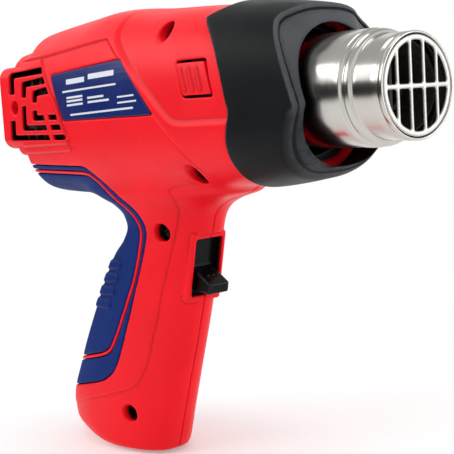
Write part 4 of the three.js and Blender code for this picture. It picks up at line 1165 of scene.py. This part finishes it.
def printed_plate(name, colour, ink, groups):
    """The plate's film: its own colour with plain bars where print would be."""
    finish = plastic(name, colour, groups, rough=(0.3, 0.42), grain=0.006, cloud=0.05, Specular_IOR_Level=0.2)
    tree = finish.node_tree
    shader = tree.nodes["Principled BSDF"]
    parts = node(tree, "ShaderNodeSeparateXYZ", {0: object_place(tree)})
    x = reckon(tree, "MULTIPLY", parts.outputs["X"], 1 / MM)
    z = reckon(tree, "MULTIPLY_ADD", parts.outputs["Z"], 1 / MM, reckon(tree, "MULTIPLY", x, -PRINT_RISE))
    total = None
    for start, end, height, half in PRINT_BARS:
        across = reckon(tree, "ABSOLUTE", reckon(tree, "SUBTRACT", x, (start + end) / 2))
        up = reckon(tree, "ABSOLUTE", reckon(tree, "SUBTRACT", z, height - PRINT_RISE * PRINT_PIVOT))
        reach = (end - start) / 2
        inside = reckon(tree, "MULTIPLY", ranged(tree, across, reach, reach - PRINT_EDGES[0]),
                        ranged(tree, up, half, half - PRINT_EDGES[1]))
        total = inside if total is None else reckon(tree, "MAXIMUM", total, inside)
    base = shader.inputs["Base Color"].links[0].from_socket
    tree.links.new(blend_colours(tree, total, base, ink), shader.inputs["Base Color"])
    return finish


def layered(name, colour, groups, scale, rough, flake):
    """Mica, ceramic or board: a speckled, slightly flaky surface."""
    finish, tree, shader = new_finish(name)
    given = node(tree, "ShaderNodeGroup", node_tree=groups["grain"])
    cells = node(tree, "ShaderNodeTexVoronoi", {"Vector": object_place(tree), "Scale": scale})
    share = node(tree, "ShaderNodeSeparateColor", {0: cells.outputs["Color"]}).outputs[0]
    tone = blend_colours(tree, share, tinted(colour, 1 - flake), tinted(colour, 1 + flake))
    clouded = reckon(tree, "MULTIPLY", given.outputs["Tone"], 0.4)
    tone = blend_colours(tree, clouded, tone, tinted(colour, 0.7))
    painted(tree, shader, tone, given.outputs["Polish"], rough, share, 0.3, 0.03)
    return finish


# What a user can change
def colour_setting(name, words, value):
    """A colour that the panel shows."""
    return bpy.props.FloatVectorProperty(name=name, description=words, subtype="COLOR", size=4, min=0, max=1,
                                         default=value)


def length_setting(name, words, value, low, high):
    """A length given here in millimetres and kept in metres, as Blender keeps its lengths."""
    return bpy.props.FloatProperty(name=name, description=words, default=value * MM, min=low * MM,
                                   max=high * MM, precision=5, subtype="DISTANCE")


def in_mm(length):
    """A setting's length in millimetres."""
    return round(length / MM, 4)


class HeatToolForm(bpy.types.PropertyGroup):
    """Sizes of the dressed pieces."""
    housing_step: length_setting("Housing step", "Spacing of the housing's grid", 0.5, 0.2, 2)
    grip_step: length_setting("Grip step", "Spacing of the soft grip's grid", 0.45, 0.2, 2)
    guard_step: length_setting("Guard step", "Spacing of the guard's grid", 0.34, 0.2, 2)
    small_step: length_setting("Small step", "Spacing of the grid for small pieces", 0.24, 0.1, 1)
    edge_round: length_setting("Edge round", "How softly the housing's edges are eased", 0.9, 0.2, 3)
    grille_bar: length_setting("Grille bar", "Width of the grille's upright bars", 1.4, 0.5, 3)
    grille_cross: length_setting("Grille cross bar", "Width of the grille's cross bar", 1.7, 0.5, 3)


class HeatToolLook(bpy.types.PropertyGroup):
    """Colours of the finishes."""
    shell: colour_setting("Housing", "Colour of the housing's plastic", (0.93, 0.006, 0.016, 1))
    grip: colour_setting("Soft grip", "Colour of the soft grip", (0.004, 0.022, 0.15, 1))
    guard: colour_setting("Guard", "Colour of the guard", (0.0065, 0.0075, 0.0085, 1))
    # Painted light: the lighter colour that the guard's face and lip take where they look towards +X.
    guard_face_light: colour_setting("Guard face light", "Painted light on the guard's face and lip", (0.092, 0.095, 0.103, 1))
    knob: colour_setting("Knob", "Colour of the switch's knob", (0.004, 0.004, 0.0045, 1))
    plate: colour_setting("Plate", "Colour of the rating plate", (0.005, 0.018, 0.13, 1))
    ink: colour_setting("Plate print", "Colour of the plate's print", (0.75, 0.78, 0.85, 1))
    tube: colour_setting("Nozzle", "Colour of the nozzle's steel", (0.56, 0.54, 0.505, 1))
    grille: colour_setting("Grille", "Colour of the grille's steel", (0.5, 0.49, 0.47, 1))
    floor: colour_setting("Floor", "Colour of the floor", (0.86, 0.86, 0.86, 1))


FINISHES = {}


def finishes():
    """All the finishes by name, made once from the colours set."""
    if FINISHES:
        return FINISHES
    look = bpy.context.scene.heat_tool_look
    groups = {"grain": moulded_grain(), "edges": edge_light_and_shade(), "lines": brushed_lines()}
    FINISHES.update({
        # Each plastic's lighter outer edges are rub wear and painted highlight, its darker corners painted
        # shade; the housing is painted near black deep inside, as shade.
        "shell": plastic("red moulded plastic", look.shell, groups, rough=(0.34, 0.44), grain=0.012,
                         wear_and_highlight=1.06, corner_shade=0.6, shaded_inside=True, Specular_IOR_Level=0.17),
        "tab": plastic("red tab plastic", look.shell, groups, rough=(0.34, 0.44), grain=0.012, wear_and_highlight=1.06,
                       corner_shade=0.5, Specular_IOR_Level=0.2),
        "grip": plastic("blue soft grip", look.grip, groups, rough=(0.5, 0.64), grain=0.03, scale=1700.0,
                        cloud=0.1, wear_and_highlight=1.5, corner_shade=0.35, Specular_IOR_Level=0.1),
        # The guard: a strong painted highlight on its edges, painted shade inside, and a lighter front as
        # painted light.
        "guard": plastic("charcoal guard", look.guard, groups, rough=(0.4, 0.52), grain=0.03, scale=1500.0,
                         cloud=0.12, wear_and_highlight=9.0, corner_shade=0.3, shaded_inside=True, front=look.guard_face_light,
                         Specular_IOR_Level=0.1),
        "knob": plastic("glossy black knob", look.knob, groups, rough=(0.14, 0.26), grain=0.006, cloud=0.1,
                        wear_and_highlight=6.0, corner_shade=0.6, Specular_IOR_Level=0.12),
        "inner black": plastic("black inner plastic", (0.015, 0.015, 0.016, 1), groups, rough=(0.4, 0.55)),
        "rubber": plastic("black rubber", (0.012, 0.012, 0.012, 1), groups, rough=(0.6, 0.75), grain=0.04,
                          cloud=0.15),
        "plate": printed_plate("plate film", look.plate, look.ink, groups),
        "tube": metal("drawn stainless tube", look.tube, groups, (2.0, 0.5, 0.5), rough=(0.15, 0.22)),
        "grille": metal("satin grille steel", look.grille, groups, (1, 1, 12), rough=(0.32, 0.42)),
        "screw": metal("blackened screw", (0.05, 0.05, 0.052, 1), groups, (1, 1, 1), rough=(0.35, 0.5)),
        "zinc": metal("zinc plated steel", (0.4, 0.41, 0.42, 1), groups, (8, 1, 1), rough=(0.35, 0.5)),
        "shaft": metal("ground shaft steel", (0.55, 0.55, 0.55, 1), groups, (1, 9, 9), rough=(0.2, 0.3)),
        "wire": metal("oxidised heater wire", (0.09, 0.08, 0.075, 1), groups, (6, 1, 1), rough=(0.45, 0.6)),
        "mica": layered("heat stained mica", (0.035, 0.026, 0.018, 1), groups, 900.0, (0.5, 0.75), 0.35),
        "ceramic": layered("ceramic flange", (0.55, 0.51, 0.44, 1), groups, 2600.0, (0.55, 0.75), 0.06),
        "board": layered("motor board", (0.03, 0.12, 0.05, 1), groups, 1500.0, (0.4, 0.55), 0.15),
    })
    return FINISHES


def repaint(name, finish):
    """Gives a carried-over node its finish."""
    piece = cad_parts[name]
    piece.data.materials.clear()
    piece.data.materials.append(finishes()[finish])


# Operators, one for each piece or group of like pieces, and one for the stage
HALVES = (("right", -1), ("left", 1))
TUBE_SIDES = 224
GRILLE_STEP = 0.2
SCREW_STEP = 0.16
SCREW_ROOM = 3.6
PLATE_COARSER = 1.25
COIL_TURNS = 10
COIL_STEPS = 40
COIL_RADIUS = 10.6
COIL_ENDS = (-107.7, -17.0)
WIRE_RADIUS = 0.8


class HEATTOOL_OT_housing(bpy.types.Operator):
    """Build both halves of the housing"""
    bl_idname = "heat_tool.housing"
    bl_label = "Housing halves"

    def execute(self, context):
        form = context.scene.heat_tool_form
        grid = Grid(*HOUSING_BOX, step_for(in_mm(form.housing_step)))
        *fields, solid = housing_fields(grid, in_mm(form.edge_round))
        for (name, side), field in zip(HALVES, fields):
            piece = formed(f"housing_{name}_dressed", field, grid, side, 0.3, solid)
            finish_piece(piece, finishes()["shell"], "housing", "red_plastic", f"housing_{name}")
        return {"FINISHED"}


class HEATTOOL_OT_grips(bpy.types.Operator):
    """Build the soft grip's pads and borders"""
    bl_idname = "heat_tool.grips"
    bl_label = "Soft grip"

    def execute(self, context):
        grid = Grid(*GRIP_BOX, step_for(in_mm(context.scene.heat_tool_form.grip_step)))
        for kind, field in zip(("pad", "border"), grip_fields(grid)):
            for name, side in HALVES:
                piece = formed(f"grip_{kind}_{name}_dressed", field, grid, side, 0.35)
                finish_piece(piece, finishes()["grip"], "housing", "soft_grip", f"grip_{kind}_{name}")
        return {"FINISHED"}


class HEATTOOL_OT_guard(bpy.types.Operator):
    """Build the sliding guard round the nozzle"""
    bl_idname = "heat_tool.guard"
    bl_label = "Nose guard"

    def execute(self, context):
        grid = Grid(*GUARD_BOX, step_for(in_mm(context.scene.heat_tool_form.guard_step)))
        field, block = guard_field(grid)
        piece = formed("nose_guard_dressed", field, grid, 0, 0.4, block)
        finish_piece(piece, finishes()["guard"], "nose_guard", "black_plastic", "nose_guard")
        return {"FINISHED"}


class HEATTOOL_OT_nozzle(bpy.types.Operator):
    """Build the nozzle's tube and the grille in its mouth"""
    bl_idname = "heat_tool.nozzle"
    bl_label = "Nozzle and grille"

    def execute(self, context):
        form = context.scene.heat_tool_form
        tube = turned("nozzle_tube_dressed", nozzle_profile(), sides=TUBE_SIDES)
        finish_piece(tube, finishes()["tube"], "housing", "nozzle_steel", "nozzle_tube")
        grid = Grid(*GRILLE_BOX, step_for(GRILLE_STEP))
        field = grille_field(grid, in_mm(form.grille_bar), in_mm(form.grille_cross))
        grille = formed("outlet_grille_dressed", field, grid, 0, 0.5)
        finish_piece(grille, finishes()["grille"], "housing", "grille_steel", "outlet_grille")
        return {"FINISHED"}


class HEATTOOL_OT_heater(bpy.types.Operator):
    """Wind the heater's coil and finish the parts round it"""
    bl_idname = "heat_tool.heater"
    bl_label = "Heater"

    def execute(self, context):
        angle = 2 * math.pi * np.arange(COIL_TURNS * COIL_STEPS + 1) / COIL_STEPS
        place = np.linspace(*COIL_ENDS, len(angle))
        path = np.stack([place, COIL_RADIUS * np.cos(angle), COIL_RADIUS * np.sin(angle)], 1)
        coil = swept("heating_coil_dressed", path, WIRE_RADIUS)
        finish_piece(coil, finishes()["wire"], "housing", "heater_wire", "heating_coil")
        for name, finish in (("mica_sleeve", "mica"), ("heater_former", "mica"), ("heater_flange", "ceramic"),
                             ("thermal_cutout", "zinc")):
            repaint(name, finish)
        return {"FINISHED"}


class HEATTOOL_OT_switch(bpy.types.Operator):
    """Build the switch's knob with its shutter and finish the body behind it"""
    bl_idname = "heat_tool.switch"
    bl_label = "Switch"

    def execute(self, context):
        grid = Grid(*SWITCH_BOX, step_for(in_mm(context.scene.heat_tool_form.small_step)))
        piece = formed("switch_slider_dressed", slider_field(grid), grid, 0, 0.4)
        finish_piece(piece, finishes()["knob"], "switch_slider", "black_gloss", "switch_slider")
        repaint("switch_body", "inner black")
        return {"FINISHED"}


class HEATTOOL_OT_screws(bpy.types.Operator):
    """Build the five housing screws and finish the clamp's two"""
    bl_idname = "heat_tool.screws"
    bl_label = "Screws"

    def execute(self, context):
        for name, (x, z, recess) in SCREWS.items():
            low, high = (SCREW_HEAD[0] - 0.5, SCREW_ENDS[1] + 0.4)
            grid = Grid((x - SCREW_ROOM, low, z - SCREW_ROOM), (x + SCREW_ROOM, high, z + SCREW_ROOM),
                        step_for(SCREW_STEP))
            piece = formed(f"housing_screw_{name}_dressed", screw_field(grid, x, z, recess), grid, 0, 0.5)
            finish_piece(piece, finishes()["screw"], "housing", "screw_steel", f"housing_screw_{name}")
        repaint("clamp_screw_1", "screw")
        repaint("clamp_screw_2", "screw")
        return {"FINISHED"}


class HEATTOOL_OT_plate(bpy.types.Operator):
    """Build the rating plate, with plain bars for its print"""
    bl_idname = "heat_tool.plate"
    bl_label = "Rating plate"

    def execute(self, context):
        grid = Grid(*PLATE_BOX, step_for(in_mm(context.scene.heat_tool_form.small_step) * PLATE_COARSER))
        piece = formed("rating_plate_dressed", label_field(grid), grid, -1, 0.3)
        finish_piece(piece, finishes()["plate"], "housing", "plate_film", "rating_plate")
        return {"FINISHED"}


class HEATTOOL_OT_tabs(bpy.types.Operator):
    """Build the guard's two release tabs"""
    bl_idname = "heat_tool.tabs"
    bl_label = "Release tabs"

    def execute(self, context):
        grid = Grid(*TAB_BOX, step_for(in_mm(context.scene.heat_tool_form.small_step)))
        for name, side in HALVES:
            piece = formed(f"release_tab_{name}_dressed", tab_field(grid), grid, side, 0.5)
            finish_piece(piece, finishes()["tab"], f"tab_{name}", "red_plastic", f"release_tab_{name}")
        return {"FINISHED"}


class HEATTOOL_OT_gland(bpy.types.Operator):
    """Build the rubber gland in the handle's foot and finish the clamp inside"""
    bl_idname = "heat_tool.gland"
    bl_label = "Cord gland"

    def execute(self, context):
        low, seat, top = FOOT - 0.6, FOOT + 2.9, FOOT + 4.5
        ring = [(low, 4.0), (low, 6.0), (low + 1.4, 6.0), (low + 1.7, 5.75), (low + 2.3, 5.75),
                (low + 2.6, 6.0), (seat, 6.0), (seat, 8.0), (top, 8.0), (top, 4.0), (low + 3.6, 4.0),
                (low + 3.2, 4.3), (low + 2.4, 4.3), (low + 2.0, 4.0)]
        piece = turned("cord_gland_dressed", softened(ring, 0.45, count=4), "z", (INLET_X, 0), 96)
        finish_piece(piece, finishes()["rubber"], "housing", "black_rubber", "cord_gland")
        repaint("cord_clamp", "inner black")
        return {"FINISHED"}


class HEATTOOL_OT_inside(bpy.types.Operator):
    """Finish the motor, the fan and the screens inside"""
    bl_idname = "heat_tool.inside"
    bl_label = "Inside parts"

    def execute(self, context):
        for name, finish in (("motor", "zinc"), ("motor_mount", "inner black"), ("motor_shaft", "shaft"),
                             ("fan_impeller", "inner black"), ("motor_board", "board"),
                             ("dust_screen_right", "inner black"), ("dust_screen_left", "inner black")):
            repaint(name, finish)
        return {"FINISHED"}


CAMERA_PLACE = (0.2239, -0.2648, 0.0)
CAMERA_TURN = (0.8887, 0.1231, -0.060)
CAMERA_LENS = 83.18
LAMPS = (  # name, place, aim, size, watts, colour
    ("key", (-0.50, -1.05, 0.60), (-0.1, 0, -0.02), (0.8, 0.6), 4.7, (1, 0.99, 0.97)),
    ("right", (0.90, 0.66, 0.22), (-0.08, 0, 0.0), (0.5, 0.8), 4.0, (0.98, 0.99, 1)),
    ("top", (-0.1, 0.05, 0.95), (-0.1, 0, 0), (0.8, 0.5), 2.4, (1, 1, 1)),
    ("strip", (-0.95, -0.62, 0.45), (-0.05, 0, 0), (0.25, 0.5), 1.4, (1, 1, 1)),
)
WORLD_LEVEL = 0.66
BAND_HEIGHTS = (0.16, 0.3)  # what gloss mirrors: a dark band at the horizon, on one side of the room
BAND_SIDE = (0.777, 0.629)
BAND_FADE = (-0.2, 0.3)
BAND_LEVEL = 0.02
CEILING = (0.5, 0.66, 1.0, 0.6)  # heights between which the room above turns down, and its two levels
FLOOR_REACH = 3000.0
FLOOR_CELLS = 12
FLOOR_DROP = 0.8
FLOOR_FADE = (0.2, 0.55)
FLOOR_GLOW = 0.2


def camera_matrix():
    """The camera's place and turn: its yaw, how far it looks down and its roll."""
    yaw, down, roll = CAMERA_TURN
    back = Vector((math.sin(yaw) * math.cos(down), -math.cos(yaw) * math.cos(down), math.sin(down)))
    level = Vector((math.cos(yaw), math.sin(yaw), 0))
    over = back.cross(level)
    right = level * math.cos(roll) + over * math.sin(roll)
    up = over * math.cos(roll) - level * math.sin(roll)
    turn = Matrix((right, up, back)).transposed().to_4x4()
    return Matrix.Translation(CAMERA_PLACE) @ turn


class HEATTOOL_OT_stage(bpy.types.Operator):
    """Set the camera, the lamps, the world and the floor"""
    bl_idname = "heat_tool.stage"
    bl_label = "Stage"

    def execute(self, context):
        scene = context.scene
        scene.view_settings.view_transform = "Standard"
        lens = bpy.data.cameras.new("camera")
        lens.lens, lens.sensor_width, lens.clip_start = CAMERA_LENS, 36.0, 0.01
        camera = bpy.data.objects.new("camera", lens)
        camera.matrix_world = camera_matrix()
        scene.collection.objects.link(camera)
        scene.camera = camera
        for name, place, aim, size, watts, colour in LAMPS:
            lamp = bpy.data.lights.new(name, "AREA")
            lamp.shape, lamp.size, lamp.size_y = "RECTANGLE", *size
            lamp.energy, lamp.color = watts, colour
            holder = bpy.data.objects.new(name, lamp)
            holder.location = place
            holder.rotation_euler = (Vector(aim) - Vector(place)).to_track_quat("-Z", "Y").to_euler()
            scene.collection.objects.link(holder)
        self.world(scene)
        self.floor(scene)
        return {"FINISHED"}

    @staticmethod
    def world(scene):
        """An even pale room, which shows gloss a dark band on one side."""
        world = bpy.data.worlds.new("studio")
        world.use_nodes = True
        scene.world = world
        tree = world.node_tree
        path = node(tree, "ShaderNodeLightPath")
        away = node(tree, "ShaderNodeTexCoord").outputs["Generated"]
        parts = node(tree, "ShaderNodeSeparateXYZ", {0: away}).outputs
        height = ranged(tree, reckon(tree, "ABSOLUTE", parts["Z"]), *BAND_HEIGHTS)
        aside = reckon(tree, "MULTIPLY", parts["Y"], BAND_SIDE[1])
        behind = ranged(tree, reckon(tree, "MULTIPLY_ADD", parts["X"], BAND_SIDE[0], aside), *BAND_FADE)
        band = reckon(tree, "MAXIMUM", height, behind)
        above = ranged(tree, parts["Z"], *CEILING)
        mirrored = reckon(tree, "MULTIPLY", ranged(tree, band, 0, 1, BAND_LEVEL, 1.0), above)
        strength = ranged(tree, path.outputs["Is Glossy Ray"], 0, 1, WORLD_LEVEL, mirrored)
        seen = reckon(tree, "MAXIMUM", path.outputs["Is Camera Ray"], path.outputs["Is Transmission Ray"])
        strength = ranged(tree, seen, 0, 1, strength, 1.0)
        tree.links.new(strength, tree.nodes["Background"].inputs["Strength"])
        tree.nodes["Background"].inputs["Color"].default_value = (1, 1, 1, 1)

    @staticmethod
    def floor(scene):
        """A pale floor under the handle, which fades out so that it meets the background."""
        steps = np.linspace(-FLOOR_REACH, FLOOR_REACH, FLOOR_CELLS + 1)
        x, y = np.meshgrid(steps, steps, indexing="ij")
        points = np.stack([x.ravel(), y.ravel(), np.full(x.size, FOOT - FLOOR_DROP)], 1)
        ring = np.arange(x.size).reshape(x.shape)
        faces = np.stack([ring[:-1, :-1], ring[1:, :-1], ring[1:, 1:], ring[:-1, 1:]], 2).reshape(-1, 4)
        floor = placed(mesh_of("floor", points, faces))
        finish, tree, shader = new_finish("pale floor", Roughness=0.9)
        place = object_place(tree)
        cloud = ranged(tree, noise(tree, place, 6.0, 3.0), 0.3, 0.7)
        colour = scene.heat_tool_look.floor
        tone = blend_colours(tree, cloud, tinted(colour, 0.995), tinted(colour, 1.005))
        tree.links.new(tone, shader.inputs["Base Color"])
        away = node(tree, "ShaderNodeVectorMath", {0: place}, operation="LENGTH").outputs["Value"]
        path = node(tree, "ShaderNodeLightPath").outputs
        seen = reckon(tree, "MAXIMUM", path["Is Camera Ray"], path["Is Glossy Ray"])
        level = reckon(tree, "MULTIPLY", seen, FLOOR_GLOW)
        glow = node(tree, "ShaderNodeEmission", {"Strength": level}).outputs[0]
        lit = node(tree, "ShaderNodeAddShader", {0: shader.outputs[0], 1: glow}).outputs[0]
        clear = node(tree, "ShaderNodeBsdfTransparent").outputs[0]
        fade = node(tree, "ShaderNodeMixShader", {0: ranged(tree, away, *FLOOR_FADE), 1: lit, 2: clear})
        tree.links.new(fade.outputs[0], tree.nodes["Material Output"].inputs["Surface"])
        floor.data.materials.append(finish)


PIECE_OPERATORS = (
    HEATTOOL_OT_housing, HEATTOOL_OT_grips, HEATTOOL_OT_guard, HEATTOOL_OT_nozzle, HEATTOOL_OT_heater,
    HEATTOOL_OT_switch, HEATTOOL_OT_screws, HEATTOOL_OT_plate, HEATTOOL_OT_tabs, HEATTOOL_OT_gland,
    HEATTOOL_OT_inside, HEATTOOL_OT_stage,
)


class HEATTOOL_PT_panel(bpy.types.Panel):
    """Lists the pieces that can be built, and their sizes and colours"""
    bl_idname = "HEATTOOL_PT_panel"
    bl_label = "Hot air tool"
    bl_space_type = "VIEW_3D"
    bl_region_type = "UI"
    bl_category = "Hot air tool"

    def draw(self, context):
        """The settings first, then a button for each operator."""
        column = self.layout.column()
        for settings in (context.scene.heat_tool_form, context.scene.heat_tool_look):
            for name in settings.__annotations__:
                column.prop(settings, name)
        for operator in PIECE_OPERATORS:
            column.operator(operator.bl_idname)


CLASSES = (HeatToolForm, HeatToolLook, *PIECE_OPERATORS, HEATTOOL_PT_panel)


def register():
    """Registers every class and hangs the settings on the scene."""
    for cls in CLASSES:
        bpy.utils.register_class(cls)
    bpy.types.Scene.heat_tool_form = bpy.props.PointerProperty(type=HeatToolForm)
    bpy.types.Scene.heat_tool_look = bpy.props.PointerProperty(type=HeatToolLook)


def unregister():
    """Takes the settings and the classes away again."""
    del bpy.types.Scene.heat_tool_look
    del bpy.types.Scene.heat_tool_form
    for cls in reversed(CLASSES):
        bpy.utils.unregister_class(cls)


def main():
    """Builds every piece in order."""
    register()
    for operator in PIECE_OPERATORS:
        family, name = operator.bl_idname.split(".")
        if getattr(getattr(bpy.ops, family), name)() != {"FINISHED"}:
            raise RuntimeError(operator.bl_label + " could not be built")


if __name__ == "__main__":
    main()
